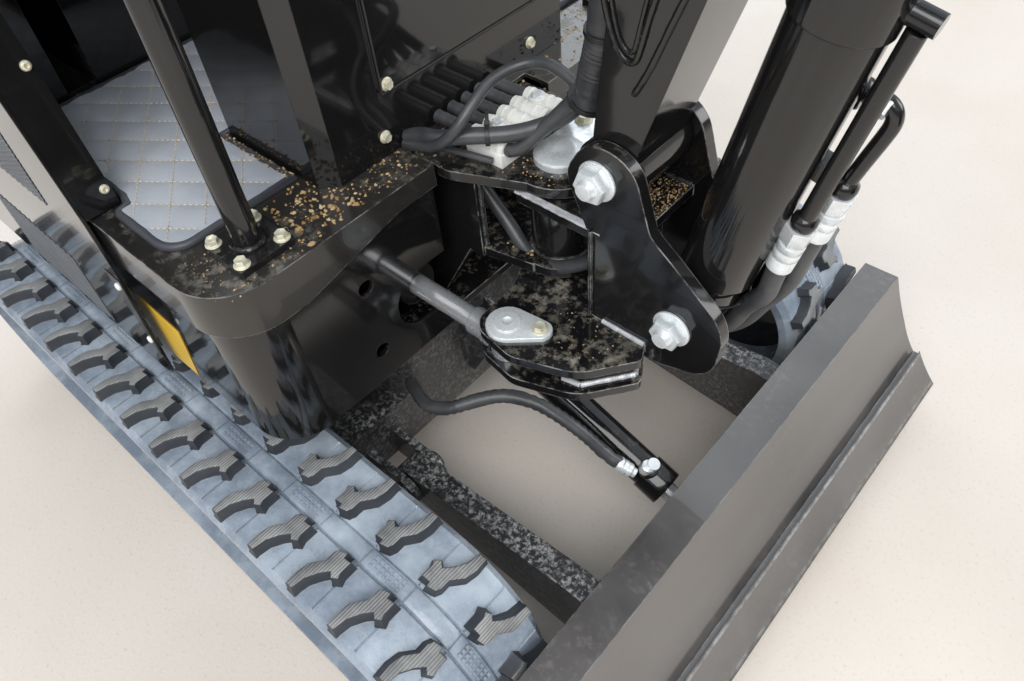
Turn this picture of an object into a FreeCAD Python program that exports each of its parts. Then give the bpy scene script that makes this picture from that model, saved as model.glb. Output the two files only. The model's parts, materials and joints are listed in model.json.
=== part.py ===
import FreeCAD, Part
import math
import os
import Sketcher
from FreeCAD import Placement, Rotation, Vector

# Mini excavator of the one-tonne class, in millimetres.
# Points are given in the machine's frame: X forward, Y to its left, Z up, with the
# slewing axis at X = 0 and the ground under the tracks at Z = 0. Every sub-part's
# Placement then moves the machine by slew_x, so that its box is centred on the origin.

os.makedirs("parts", exist_ok=True)
doc = FreeCAD.newDocument("mini_excavator")

# Driving dimensions: name, value, what it is
DIMENSIONS = [
    ("track_width", 180, "width of a rubber track"),
    ("axle_span", 898, "sprocket axle to idler axle"),
    ("belt_radius", 139.5, "outside of the belt where it wraps a wheel"),
    ("belt_thick", 22, "thickness of the belt"),
    ("lug_height", 18, "height of a lug above the belt"),
    ("lug_length", 44, "length of a lug along the track"),
    ("lug_start", 3.5, "centre strip to the start of a lug"),
    ("lug_root", 6, "depth of a lug's foot inside the belt"),
    ("lug_inset", 6, "edge of the belt to the end of a lug"),
    ("centre_strip", 25, "width of the strip between the two rows of lugs"),
    ("wheel_gap", 0.3, "clearance between the belt and its wheels"),
    ("seat_gap", 0.3, "clearance between pieces that turn face to face"),
    ("shaft_gap", 0.1, "radial clearance of a pin or a rod in its bore"),
    ("roller_radius", 44, "radius of a lower roller"),
    ("roller_pitch", 205, "distance between lower rollers"),
    ("carrier_radius", 28, "radius of the upper roller"),
    ("roller_width", 70, "width of a roller"),
    ("side_plate", 8, "thickness of a track frame's side plate"),
    ("frame_top", 215, "height of the track frame's top plate"),
    ("frame_low", 92, "height of the track frame's lower edge"),
    ("axle_boss", 46, "radius of a track frame's end round an axle"),
    ("motor_radius", 66, "radius of a travel motor"),
    ("motor_length", 95, "length of a travel motor inside the track frame"),
    ("sprocket_thick", 24, "thickness of the sprocket's ring"),
    ("tooth_depth", 20, "depth of a sprocket tooth"),
    ("idler_thick", 44, "thickness of the idler"),
    ("tow_bore", 15, "radius of the hole in the tow eye"),
    ("tow_plate", 18, "thickness of the tow eye"),
    ("lift_bore", 14, "radius of the hole in the boom's lifting eye"),
    ("lift_plate", 16, "thickness of the boom's lifting eye"),
    ("tower_half", 168, "half width of the lower frame's centre box"),
    ("tower_long", 205, "half length of the lower frame's centre box"),
    ("tower_low", 122, "height of the centre box's floor"),
    ("tower_top", 325, "height of the plate under the slewing ring"),
    ("beam_width", 92, "width of a cross beam"),
    ("beam_low", 108, "height of a cross beam's lower face"),
    ("beam_high", 205, "height of a cross beam's upper face"),
    ("ring_radius", 172, "outside of the slewing ring"),
    ("ring_bore", 118, "bore of the slewing ring"),
    ("ring_height", 27, "height of the slewing ring"),
    ("blade_half", 473, "half width of the dozer blade"),
    ("blade_rear", 605, "rear edge of the blade's top flange"),
    ("blade_lift", 54, "height of the blade's cutting edge"),
    ("blade_height", 174, "cutting edge to top flange"),
    ("blade_sheet", 8, "thickness of the blade's sheet"),
    ("edge_proud", 7, "thickness of the cutting edge on the blade's sheet"),
    ("blade_pivot_x", 275, "blade pivot ahead of the slewing axis"),
    ("blade_pivot_z", 130, "height of the blade pivot"),
    ("arm_inner", 200, "inner face of a blade arm"),
    ("arm_width", 36, "width of a blade arm"),
    ("arm_depth", 62, "depth of a blade arm"),
    ("blade_pin", 14, "radius of the blade's pivot pins"),
    ("deck_thick", 12, "thickness of the upper frame's base plate"),
    ("deck_half", 345, "half width of the base plate"),
    ("floor_top", 625, "height of the floor"),
    ("floor_half", 380, "half width of the floor"),
    ("floor_front", 287, "front edge of the floor"),
    ("floor_round", 66, "corner radius of the floor"),
    ("lip_depth", 57, "depth of the floor's folded lip"),
    ("lip_thin", 28, "depth of the lip beside the nose"),
    ("skin", 5, "thickness of the folded lip and the skirts"),
    ("skirt_low", 372, "height of the skirt's lower edge"),
    ("nose_half", 70, "outer face of the nose's side plates"),
    ("nose_plate", 12, "thickness of the nose's plates"),
    ("nose_mouth", 96, "half width of the gap in the floor for the nose"),
    ("kingpin_x", 383, "boom swing axis ahead of the slewing axis"),
    ("kingpin_radius", 22.5, "radius of the boom swing pin"),
    ("nose_top", 618, "upper face of the nose's top lug"),
    ("nose_lug", 55, "radius of the nose's lugs round the swing pin"),
    ("nose_boss", 36, "radius of the nose's tube round the swing pin"),
    ("hose_radius", 7.5, "radius of a hose over the nose"),
    ("hose_pitch", 22, "distance between the hoses in their clamp"),
    ("hose_rise", 18, "nose to the middle of its hoses"),
    ("clamp_rear", 295, "rear face of the hose clamp"),
    ("clamp_front", 347, "front face of the hose clamp"),
    ("clamp_high", 32, "height of the hose clamp"),
    ("sleeve_radius", 17, "radius of the hose sleeve behind the boom"),
    ("line_radius", 8, "radius of the boom cylinder's steel lines"),
    ("lower_lug", 500, "upper face of the nose's lower lug"),
    ("bracket_half", 60, "outer face of the swing bracket's side plates"),
    ("bracket_plate", 13.5, "thickness of the swing bracket's side plates"),
    ("ear_x", 410, "swing cylinder pin ahead of the slewing axis"),
    ("ear_y", -131, "swing cylinder pin beside the machine's centre line"),
    ("ear_low", 430, "lower face of the swing bracket's lower ear"),
    ("ear_high", 480, "upper face of the swing bracket's upper ear"),
    ("ear_plate", 12, "thickness of an ear"),
    ("ear_pin", 14, "radius of the swing cylinder's pins"),
    ("keeper_thick", 7, "thickness of a pin's keeper plate"),
    ("foot_pin_x", 479, "boom foot pin ahead of the slewing axis"),
    ("foot_pin_z", 669, "height of the boom foot pin"),
    ("lift_pin_x", 575, "boom cylinder's lower pin ahead of the slewing axis"),
    ("lift_pin_z", 528, "height of the boom cylinder's lower pin"),
    ("main_pin", 17.5, "radius of the boom foot pin and the boom cylinder's pins"),
    ("boom_half", 45, "half width of the boom"),
    ("knee_dx", 130, "boom foot pin to the boom's knee, forward"),
    ("knee_dz", 637, "boom foot pin to the boom's knee, up"),
    ("tip_dx", 642, "boom foot pin to the boom's tip pin, forward"),
    ("tip_dz", 975, "boom foot pin to the boom's tip pin, up"),
    ("arm_half", 36.5, "half width of the arm"),
    ("arm_length", 850, "arm pivot to bucket pivot"),
    ("arm_swing", 16, "lean of the arm ahead of plumb, in degrees"),
    ("link_arm", 150, "length of the rocker and of the bucket's ear"),
    ("link_base", 150, "rocker pivot to bucket pivot"),
    ("small_pin", 14, "radius of the arm's and the bucket's pins"),
    ("bucket_half", 190, "half width of the bucket"),
    ("bucket_lean", 10, "lean of the bucket's mouth from upright, in degrees"),
    ("bucket_sheet", 7, "thickness of the bucket's sheet"),
    ("tail_radius", 760, "slewing axis to the back of the counterweight"),
    ("hood_half", 268, "half width of the engine hood"),
    ("hood_front", -505, "front face of the engine hood"),
    ("hood_rear", -735, "rear face of the engine hood"),
    ("hood_low", 612, "lower edge of the engine hood"),
    ("hood_top", 935, "top of the engine hood"),
    ("hood_sheet", 4, "thickness of the hood and the side covers"),
    ("cover_half", 388, "outer face of a side cover"),
    ("cover_top", 905, "top of a side cover"),
    ("cover_low", 352, "lower edge of a side cover"),
    ("seat_front", -175, "front face of the seat box"),
    ("seat_half", 235, "half width of the seat box"),
    ("seat_top", 870, "top of the seat box"),
    ("seat_wide", 215, "half width of the seat"),
    ("console_front", 236, "front face of the control console"),
    ("console_rear", 60, "rear face of the control console"),
    ("console_half", 199, "half width of the control console"),
    ("console_top", 1130, "top of the control console"),
    ("mat_front", 187, "front edge of the mat"),
    ("mat_half", 360, "half width of the mat ahead of the side covers"),
    ("mat_round", 32, "corner radius of the mat"),
    ("mat_thick", 6, "thickness of the mat"),
    ("mat_gap", 3, "mat to what stands beside it"),
    ("cover_flange", 44, "width of a side cover's folded front flange"),
    ("post_x", 234, "front canopy posts ahead of the slewing axis"),
    ("post_y", 299, "canopy posts beside the centre line"),
    ("rear_post_x", -480, "rear canopy posts ahead of the slewing axis"),
    ("rear_post_y", 330, "rear canopy posts beside the centre line"),
    ("post_radius", 14, "radius of a canopy post"),
    ("post_flange", 66, "side of a canopy post's flange"),
    ("flange_thick", 8, "thickness of a canopy post's flange"),
    ("roof_top", 2290, "top of the canopy roof"),
    ("roof_depth", 62, "depth of the canopy roof's folded edge"),
    ("roof_half", 425, "half width of the canopy roof"),
    ("roof_front", 345, "front edge of the canopy roof"),
    ("roof_rear", -600, "rear edge of the canopy roof"),
    ("front_reach", 1667, "slewing axis to the front of the bucket"),
]

sheet = doc.addObject("Spreadsheet::Sheet", "Sizes")
for row, (name, number, words) in enumerate(DIMENSIONS, start=1):
    sheet.set(f"A{row}", name)
    sheet.set(f"B{row}", str(number))
    sheet.set(f"C{row}", words)
    sheet.setAlias(f"B{row}", name)
doc.recompute()


class Size:
    """A number with the formula, in the sheet's names, that gives it."""

    def __init__(self, value, text):
        self.value = float(value)
        self.text = text

    def __add__(self, other):
        other = size(other)
        return Size(self.value + other.value, f"({self.text} + {other.text})")

    def __sub__(self, other):
        other = size(other)
        return Size(self.value - other.value, f"({self.text} - {other.text})")

    def __mul__(self, other):
        other = size(other)
        return Size(self.value * other.value, f"({self.text} * {other.text})")

    def __truediv__(self, other):
        other = size(other)
        return Size(self.value / other.value, f"({self.text} / {other.text})")

    def __rsub__(self, other):
        return size(other) - self

    def __neg__(self):
        return size(0) - self

    __radd__ = __add__
    __rmul__ = __mul__


def size(thing):
    return thing if isinstance(thing, Size) else Size(thing, f"{float(thing):.6f}")


def sine(angle):
    return Size(math.sin(math.radians(angle.value)), f"sin({angle.text})")


def cosine(angle):
    return Size(math.cos(math.radians(angle.value)), f"cos({angle.text})")


def length(dx, dz):
    return Size(math.hypot(dx.value, dz.value), f"sqrt({dx.text}^2 + {dz.text}^2)")


def bearing(dx, dz):
    """Angle in degrees of the direction (dx, dz), from the first axis to the second."""
    return Size(math.degrees(math.atan2(dz.value, dx.value)), f"(atan2({dz.text}; {dx.text}) / 1deg)")


class Names:
    """The sheet's dimensions as attributes."""


S = Names()
for name, number, words in DIMENSIONS:
    setattr(S, name, Size(sheet.get(name), f"Sizes.{name}"))

S.gauge_half = S.blade_half - S.track_width / 2
ROLE = {"XY": "XY_Plane", "XZ": "XZ_Plane", "YZ": "YZ_Plane"}
slew_x = (S.tail_radius - S.front_reach) / 2


# Building blocks

def new_body(name, x=0, z=0, y=0, turn=None, axis=Vector(0, 1, 0)):
    """A sub-part whose own origin lies at (x, y, z) of the machine's frame."""
    body = doc.addObject("PartDesign::Body", name)
    body.Label = name
    turn = size(0) if turn is None else turn
    place = {"Base.x": slew_x + x, "Base.y": size(y), "Base.z": size(z)}
    numbers = [entry.value for entry in place.values()]
    body.Placement = Placement(Vector(*numbers), Rotation(axis, turn.value))
    for key, entry in place.items():
        body.setExpression(f".Placement.{key}", entry.text)
    if turn.value:
        body.setExpression(".Placement.Rotation.Angle", turn.text)
    return body


def span(first, second, side=1):
    """The two distances in rising order, on the left (1) or on the right (-1)."""
    return sorted((size(first) * side, size(second) * side), key=lambda entry: entry.value)


def own_plane(body, plane):
    return next(item for item in body.Origin.OriginFeatures if item.Role == ROLE[plane])


def new_sketch(body, plane, offset):
    sketch = body.newObject("Sketcher::SketchObject", f"{body.Name}_sketch")
    sketch.AttachmentSupport = (own_plane(body, plane), [""])
    sketch.MapMode = "FlatFace"
    sketch.AttachmentOffset = Placement(Vector(0, 0, offset.value), Rotation())
    sketch.setExpression(".AttachmentOffset.Base.z", offset.text)
    return sketch


def draw_outline(sketch, corners):
    """A closed outline through corners (x, y) or, where it is rounded, (x, y, radius)."""
    rows = [[size(entry) for entry in corner] for corner in corners]
    points = [Vector(row[0].value, row[1].value, 0) for row in rows]
    count = len(points)
    incoming, outgoing, arcs = list(points), list(points), {}
    for i, row in enumerate(rows):
        if len(row) < 3:
            continue
        back = (points[i - 1] - points[i]).normalize()
        ahead = (points[(i + 1) % count] - points[i]).normalize()
        half = back.getAngle(ahead) / 2
        incoming[i] = points[i] + back * (row[2].value / math.tan(half))
        outgoing[i] = points[i] + ahead * (row[2].value / math.tan(half))
        arcs[i] = points[i] + (back + ahead).normalize() * (row[2].value / math.sin(half))

    base = sketch.GeometryCount
    geometry = [Part.LineSegment(outgoing[i], incoming[(i + 1) % count]) for i in range(count)]
    arc_id, point_id, leftward = {}, {}, {}
    for i, centre in arcs.items():
        first, last = incoming[i] - centre, outgoing[i] - centre
        leftward[i] = first.cross(last).z > 0
        angles = [math.atan2(first.y, first.x), math.atan2(last.y, last.x)]
        if not leftward[i]:
            angles.reverse()
        arc_id[i] = base + len(geometry)
        circle = Part.Circle(centre, Vector(0, 0, 1), rows[i][2].value)
        geometry.append(Part.ArcOfCircle(circle, *angles))
    for i in arcs:
        point_id[i] = base + len(geometry)
        geometry.append(Part.Point(points[i]))
    sketch.addGeometry(geometry, False)

    rules, bound = [], []

    def hold(item, end, row):
        for kind, entry in zip(("DistanceX", "DistanceY"), row):
            bound.append((len(rules), entry))
            rules.append(Sketcher.Constraint(kind, -1, 1, item, end, entry.value))

    for i, row in enumerate(rows):
        into, onward = base + (i - 1) % count, base + i
        if i not in arcs:
            rules.append(Sketcher.Constraint("Coincident", into, 2, onward, 1))
            hold(onward, 1, row)
            continue
        first, last = (1, 2) if leftward[i] else (2, 1)
        rules.append(Sketcher.Constraint("Tangent", into, 2, arc_id[i], first))
        rules.append(Sketcher.Constraint("Tangent", arc_id[i], last, onward, 1))
        bound.append((len(rules), row[2]))
        rules.append(Sketcher.Constraint("Radius", arc_id[i], row[2].value))
        hold(point_id[i], 1, row)
        rules.append(Sketcher.Constraint("PointOnObject", point_id[i], 1, into))
        rules.append(Sketcher.Constraint("PointOnObject", point_id[i], 1, onward))
    add_rules(sketch, rules, bound)


def draw_circle(sketch, x, y, radius):
    x, y, radius = size(x), size(y), size(radius)
    item = sketch.GeometryCount
    sketch.addGeometry(Part.Circle(Vector(x.value, y.value, 0), Vector(0, 0, 1), radius.value), False)
    rules = [
        Sketcher.Constraint("DistanceX", -1, 1, item, 3, x.value),
        Sketcher.Constraint("DistanceY", -1, 1, item, 3, y.value),
        Sketcher.Constraint("Radius", item, radius.value),
    ]
    add_rules(sketch, rules, list(enumerate((x, y, radius))))


def add_rules(sketch, rules, bound):
    start = sketch.ConstraintCount
    sketch.addConstraint(rules)
    for index, entry in bound:
        sketch.setExpression(f"Constraints[{start + index}]", entry.text)


def draw(sketch, shapes):
    """Each shape is a list of corners, or one (x, y, radius) for a circle."""
    for shape in shapes:
        if isinstance(shape, tuple):
            draw_circle(sketch, *shape)
        else:
            draw_outline(sketch, shape)


def add(body, plane, low, high, *shapes):
    """Material between two planes parallel to plane, at low and high along its normal."""
    low, high = size(low), size(high)
    sketch = new_sketch(body, plane, -high if plane == "XZ" else low)
    draw(sketch, shapes)
    pad = body.newObject("PartDesign::Pad", f"{body.Name}_pad")
    pad.Profile = sketch
    pad.Length = high.value - low.value
    pad.setExpression("Length", (high - low).text)
    return pad


def cut(body, plane, low, high, *shapes):
    """Material taken away between two planes parallel to plane."""
    low, high = size(low), size(high)
    sketch = new_sketch(body, plane, -low if plane == "XZ" else high)
    draw(sketch, shapes)
    pocket = body.newObject("PartDesign::Pocket", f"{body.Name}_pocket")
    pocket.Profile = sketch
    pocket.Length = high.value - low.value
    pocket.setExpression("Length", (high - low).text)
    return pocket


def both_sides(body, plane, low, high, *shapes):
    """The same plate on the left and on the right of the centre line."""
    add(body, plane, low, high, *shapes)
    add(body, plane, -size(high), -size(low), *shapes)


def spin(body, plane, corners, axis="H_Axis"):
    """A turned piece: the outline turned about the sketch's own axis."""
    sketch = new_sketch(body, plane, size(0))
    draw_outline(sketch, corners)
    turned = body.newObject("PartDesign::Revolution", f"{body.Name}_turned")
    turned.Profile = sketch
    turned.ReferenceAxis = (sketch, [axis])
    turned.Angle = 360
    return turned


def box(x_low, x_high, y_low, y_high, radius=None):
    corners = [(x_low, y_low), (x_high, y_low), (x_high, y_high), (x_low, y_high)]
    if radius is None:
        return corners
    return [(x, y, radius) for x, y in corners]


def bar(start, end, half):
    """A straight bar's four corners, half its width to each side of the line."""
    dx, dz = size(end[0]) - start[0], size(end[1]) - start[1]
    span = length(dx, dz)
    nx, nz = -dz / span * half, dx / span * half
    return [
        (start[0] - nx, start[1] - nz),
        (end[0] - nx, end[1] - nz),
        (end[0] + nx, end[1] + nz),
        (start[0] + nx, start[1] + nz),
    ]


# Undercarriage

axle_x = S.axle_span / 2
axle_z = S.belt_radius + S.lug_height
inner_radius = S.belt_radius - S.belt_thick
ground_run = axle_z - S.belt_radius + S.belt_thick
plate_out = S.roller_width / 2 + 2 + S.side_plate
plate_in = S.roller_width / 2 + 2
frame_face = S.gauge_half - plate_out
tow_eye = (-S.tower_long - 32, S.tower_low + 40)
ARC_STEPS = 12
LUG_COUNT = 37

# A lug's hooked outline on the belt: share of its length ahead, share of its row's width outward
LUG_SHAPE = [(-0.455, 1), (-0.18, 1), (0, 0.545), (0.34, 0.455), (0.545, 0.4), (0.455, 0.03), (-0.07, 0),
             (-0.135, 0.31), (-0.455, 0.575)]


def build_lower_frame():
    body = new_body("lower_frame")
    half, long = S.tower_half, S.tower_long
    add(body, "XY", S.tower_low, S.tower_top - 10, box(-long, long, -half, half, 40))
    add(body, "XY", S.tower_top - 10, S.tower_top, (0, 0, S.ring_radius + 18))
    for x in (-long, long - S.beam_width):
        add(body, "XY", S.beam_low, S.beam_high, box(x, x + S.beam_width, -frame_face, frame_face))
    cheek = S.arm_inner - 14
    for low in (cheek, S.arm_inner + S.arm_width + 2):
        ear = bar((long - 20, S.blade_pivot_z), (S.blade_pivot_x, S.blade_pivot_z), 28)
        both_sides(body, "XZ", low, low + 12, ear)
        both_sides(body, "XZ", low, low + 12, (S.blade_pivot_x, S.blade_pivot_z, 28))
    cut(body, "XZ", -S.blade_half, S.blade_half, (S.blade_pivot_x, S.blade_pivot_z, S.blade_pin + S.shaft_gap))
    lug = [
        (long - 20, barrel_pin[1] - 90),
        (long + 10, barrel_pin[1] - 90),
        (barrel_pin[0] + 20, barrel_pin[1] - 14, 8),
        (barrel_pin[0] + 14, barrel_pin[1] + 22, 12),
        (barrel_pin[0] - 14, barrel_pin[1] + 22, 12),
        (long - 20, barrel_pin[1] + 40),
    ]
    both_sides(body, "XZ", 19, 29, lug)
    add(body, "XZ", -35, 35, (barrel_pin[0], barrel_pin[1], S.blade_pin))
    x, z = tow_eye
    add(body, "XY", z - S.tow_plate / 2, z + S.tow_plate / 2,
        [(-long + 10, -60), (x - 34, -34, 30), (x - 34, 34, 30), (-long + 10, 60)])
    cut(body, "XY", z - S.tow_plate, z + S.tow_plate, (x, 0, S.tow_bore))
    return body


def build_track_frames():
    body = new_body("track_frames")
    for side in (-1, 1):
        centre = S.gauge_half * side
        inner = span(S.gauge_half - plate_out, S.gauge_half - plate_in, side)
        outer = span(S.gauge_half + plate_in, S.gauge_half + plate_out, side)
        full = bar((-axle_x, axle_z), (axle_x, axle_z), S.axle_boss)
        short = bar((-axle_x + 130, axle_z), (axle_x, axle_z), S.axle_boss)
        low, high = S.frame_low, S.frame_top
        web = [(-axle_x + 130, low), (axle_x - 130, low), (axle_x, axle_z - S.axle_boss),
               (axle_x, axle_z + S.axle_boss), (axle_x - 100, high), (-axle_x + 130, high)]
        for plate, outline in ((inner, full), (outer, short)):
            add(body, "XZ", plate[0], plate[1], outline)
            add(body, "XZ", plate[0], plate[1], web)
            add(body, "XZ", plate[0], plate[1], (axle_x, axle_z, S.axle_boss))
        add(body, "XZ", inner[0], inner[1], (-axle_x, axle_z, S.axle_boss))
        add(body, "XZ", centre - plate_in, centre + plate_in,
            box(-axle_x + 130, axle_x - 130, high - 10, high))
    return body


def loop_outline(radius):
    """The track's closed loop, in short straight lengths round each wheel."""
    points = []
    for centre, start in ((axle_x, -90), (-axle_x, 90)):
        for step in range(ARC_STEPS + 1):
            angle = math.radians(start + 180 * step / ARC_STEPS)
            points.append((centre + radius * math.cos(angle), axle_z + radius * math.sin(angle)))
    return points


def loop_place(distance, radius):
    """Point and heading on the loop at a distance from the middle of its lower run."""
    run, turn = S.axle_span.value, math.pi * radius
    distance %= 2 * run + 2 * turn
    x, z = axle_x.value, axle_z.value
    if distance < run / 2:
        return distance, z - radius, 0
    distance -= run / 2
    if distance < turn:
        angle = distance / radius
        return x + radius * math.sin(angle), z - radius * math.cos(angle), math.degrees(angle)
    distance -= turn
    if distance < run:
        return x - distance, z + radius, 180
    distance -= run
    if distance < turn:
        angle = distance / radius
        return -x - radius * math.sin(angle), z + radius * math.cos(angle), 180 + math.degrees(angle)
    return distance - turn - x, z - radius, 360


def build_track(name, side):
    """One track: the belt with its two staggered rows of lugs, turned round the loop."""
    width = S.track_width.value
    solids = []
    for radius in (S.belt_radius, inner_radius):
        points = [Vector(x.value, -width / 2, z.value) for x, z in loop_outline(radius)]
        face = Part.Face(Part.makePolygon(points + points[:1]))
        solids.append(face.extrude(Vector(0, width, 0)))
    belt = solids[0].cut(solids[1])
    high, foot, long = S.lug_height.value, S.lug_root.value, S.lug_length.value
    strip, edge = S.centre_strip.value / 2 + S.lug_start.value, width / 2 - S.lug_inset.value
    loop = 2 * S.axle_span.value + 2 * math.pi * S.belt_radius.value
    lugs = []
    for number in range(2 * LUG_COUNT):
        row = 1 if number % 2 else -1
        x, z, heading = loop_place(loop * (number + 0.5) / (2 * LUG_COUNT), S.belt_radius.value)
        lead = -long if row == side else long
        corners = []
        for along, across in LUG_SHAPE:
            corners.append(Vector(lead * along, row * (strip + across * (edge - strip)), -high))
        lug = Part.Face(Part.makePolygon(corners + corners[:1])).extrude(Vector(0, 0, high + foot))
        lug.rotate(Vector(0, 0, 0), Vector(0, 1, 0), -heading)
        lug.translate(Vector(x, 0, z))
        lugs.append(lug)
    track = doc.addObject("Part::Feature", name)
    track.Label = name
    ground = Part.makeBox(4 * axle_x.value, width, 20, Vector(-2 * axle_x.value, -width / 2, -20))
    track.Shape = belt.fuse(lugs).cut(ground).removeSplitter()
    track.Placement = Placement(Vector(slew_x.value, S.gauge_half.value * side, 0), Rotation())
    return track


def build_wheels():
    """Sprockets, idlers and rollers, each a pair of like pieces in its own sub-part."""
    free = inner_radius * math.cos(math.pi / 2 / ARC_STEPS) - S.wheel_gap
    sprockets = new_body("sprockets")
    for side in (-1, 1):
        centre = S.gauge_half * side
        add(sprockets, "XZ", centre - S.sprocket_thick / 2, centre + S.sprocket_thick / 2,
            sprocket_outline(free))
        hub = span(S.gauge_half - plate_in, S.gauge_half + 26, side)
        add(sprockets, "XZ", hub[0], hub[1], (-axle_x, axle_z, S.motor_radius - 8))
    idlers = new_body("idlers")
    rollers = new_body("rollers")
    for side in (-1, 1):
        centre = S.gauge_half * side
        add(idlers, "XZ", centre - S.idler_thick / 2, centre + S.idler_thick / 2, (axle_x, axle_z, free))
        add(idlers, "XZ", centre - plate_in, centre + plate_in, (axle_x, axle_z, 26))
        lower = [(S.roller_pitch * step, ground_run + S.wheel_gap + S.roller_radius) for step in (-1, 0, 1)]
        carrier = (size(0), axle_z + inner_radius - S.wheel_gap - S.carrier_radius)
        half = S.roller_width / 2
        for x, z in lower:
            add(rollers, "XZ", centre - half, centre + half, (x, z, S.roller_radius))
            add(rollers, "XZ", centre - plate_in, centre + plate_in, (x, z, 15))
        add(rollers, "XZ", centre - 20, centre + 20, (carrier[0], carrier[1], S.carrier_radius))
        add(rollers, "XZ", centre - 6, centre + 6, box(-14, 14, S.frame_top, carrier[1]))
    motors = new_body("travel_motors")
    for side in (-1, 1):
        add(motors, "XZ", *span(frame_face - S.motor_length, frame_face, side),
            (-axle_x, axle_z, S.motor_radius))
    return [sprockets, idlers, rollers, motors]


def sprocket_outline(outer):
    """A toothed ring: a flat-topped tooth at every step, a lower land between."""
    teeth, corners = 11, []
    for tooth in range(teeth):
        for fraction, radius in ((-0.18, outer), (0.18, outer), (0.34, outer - S.tooth_depth),
                                 (0.66, outer - S.tooth_depth)):
            angle = 2 * math.pi * (tooth + fraction) / teeth
            corners.append((radius * math.cos(angle) - axle_x, radius * math.sin(angle) + axle_z))
    return corners


def build_slew_ring():
    body = new_body("slew_ring")
    add(body, "XY", S.tower_top, S.tower_top + S.ring_height, (0, 0, S.ring_radius), (0, 0, S.ring_bore))
    return body


# Blade

rod_pin = (S.blade_rear + 20, S.blade_lift + 38.4)
barrel_pin = (S.tower_long + 30, S.tower_top - 87)
blade_top = S.blade_lift + S.blade_height


# The moldboard's hollow face, from its top edge down: forward of the flange's rear edge, below
# its top, and the radius that rounds it there
BLADE_FACE = [(53, 0), (69, -42, 480), (104, -114, 220), (136, -154, 280), (155, -174)]


def face_line(ahead):
    """The moldboard's face from its top edge down, moved ahead."""
    return [(S.blade_rear + row[0] + ahead, blade_top + row[1], *row[2:]) for row in BLADE_FACE]


def build_blade():
    body = new_body("blade_moldboard")
    rear, low, top, sheet_t = S.blade_rear, S.blade_lift, blade_top, S.blade_sheet
    front, back = face_line(size(0)), face_line(-sheet_t)[::-1]
    profile = [(rear, top)] + front + back[:-1] + [(rear + 44, top - sheet_t), (rear, top - sheet_t)]
    add(body, "XZ", -S.blade_half, S.blade_half, profile)
    edge = face_line(S.edge_proud)[3:]
    strip = [(rear + 118, top - 130), (edge[0][0] - 13, top - 131)] + edge + front[3:][::-1]
    add(body, "XZ", -S.blade_half, S.blade_half, strip)
    gusset = [(rear, top), front[0], front[1], front[2][:2], (rear + 92, top - 114), (rear + 20, top - 30),
              (rear, top - 20)]
    both_sides(body, "XZ", S.blade_half - 5, S.blade_half, gusset)
    lug = [
        (rod_pin[0] - 22, rod_pin[1] - 16, 12),
        (rod_pin[0] + 30, rod_pin[1] - 24),
        (rear + 128, low + 22),
        (rear + 96, top - 110),
        (rod_pin[0] - 10, rod_pin[1] + 24, 14),
    ]
    both_sides(body, "XZ", 19, 29, lug)
    both_sides(body, "XZ", 29, 37, (rod_pin[0], rod_pin[1], S.blade_pin + 6))
    return body


def build_blade_arms():
    body = new_body("blade_arms")
    root = (S.blade_pivot_x, S.blade_pivot_z)
    seat = face_line(-S.blade_sheet)[1:4]
    seat[0], seat[2] = seat[0][:2], seat[2][:2]
    outline = [(root[0], root[1] - S.arm_depth / 2), (S.blade_rear - 30, seat[2][1])] + seat[::-1]
    outline += [(S.blade_rear - 30, blade_top - 32), (root[0], root[1] + S.arm_depth / 2)]
    both_sides(body, "XZ", S.arm_inner, S.arm_inner + S.arm_width, outline)
    both_sides(body, "XZ", S.arm_inner, S.arm_inner + S.arm_width, (root[0], root[1], S.arm_depth / 2))
    both_sides(body, "XZ", S.arm_inner - 22, S.arm_inner + S.arm_width + 22, (root[0], root[1], S.blade_pin))
    return body


# Hydraulic cylinders: the barrel's eye is at its own origin, the rod's eye lies along its own X

def ram(name, start, end, closed, barrel_radius, rod_radius, eye_radius, base_half, rod_half, pin,
        inner_end, plane="XZ", height=0):
    """The barrel and the rod of one cylinder, from its base pin to its rod pin."""
    dx, dz = size(end[0]) - start[0], size(end[1]) - start[1]
    reach, turn = length(dx, dz), bearing(dx, dz)
    axis = Vector(0, -1, 0) if plane == "XZ" else Vector(0, 0, 1)
    where = dict(x=start[0], z=start[1]) if plane == "XZ" else dict(x=start[0], y=start[1], z=height)
    gland, neck, tube = closed - 38, eye_radius + 16, eye_radius + 24
    neck_radius = min(base_half - 1, barrel_radius.value - 6)
    barrel = new_body(f"{name}_barrel", turn=turn, axis=axis, **where)
    root = eye_radius * 0.6
    spin(barrel, "XY", [(root, 0), (closed, 0), (closed, barrel_radius + 3), (gland, barrel_radius + 3),
                        (gland, barrel_radius), (tube, barrel_radius), (neck, neck_radius),
                        (root, neck_radius)])
    add(barrel, plane, -base_half, base_half, (0, 0, eye_radius))
    bore = barrel.newObject("PartDesign::Groove", f"{barrel.Name}_bore")
    sketch = new_sketch(barrel, "XY", size(0))
    radius = rod_radius + S.shaft_gap
    floor = eye_radius + 14
    draw_outline(sketch, [(floor, 0), (closed + 1, 0), (closed + 1, radius), (floor, radius)])
    bore.Profile = sketch
    bore.ReferenceAxis = (sketch, ["H_Axis"])
    bore.Angle = 360
    cut(barrel, plane, -base_half - 1, base_half + 1, (0, 0, pin + S.shaft_gap))

    rod = new_body(f"{name}_rod", turn=turn, axis=axis, **where)
    spin(rod, "XY", [(inner_end, 0), (reach, 0), (reach, rod_radius), (inner_end, rod_radius)])
    add(rod, plane, -rod_half, rod_half, (reach, 0, eye_radius))
    cut(rod, plane, -rod_half - 1, rod_half + 1, (reach, 0, pin + S.shaft_gap))
    return [barrel, rod]


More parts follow.
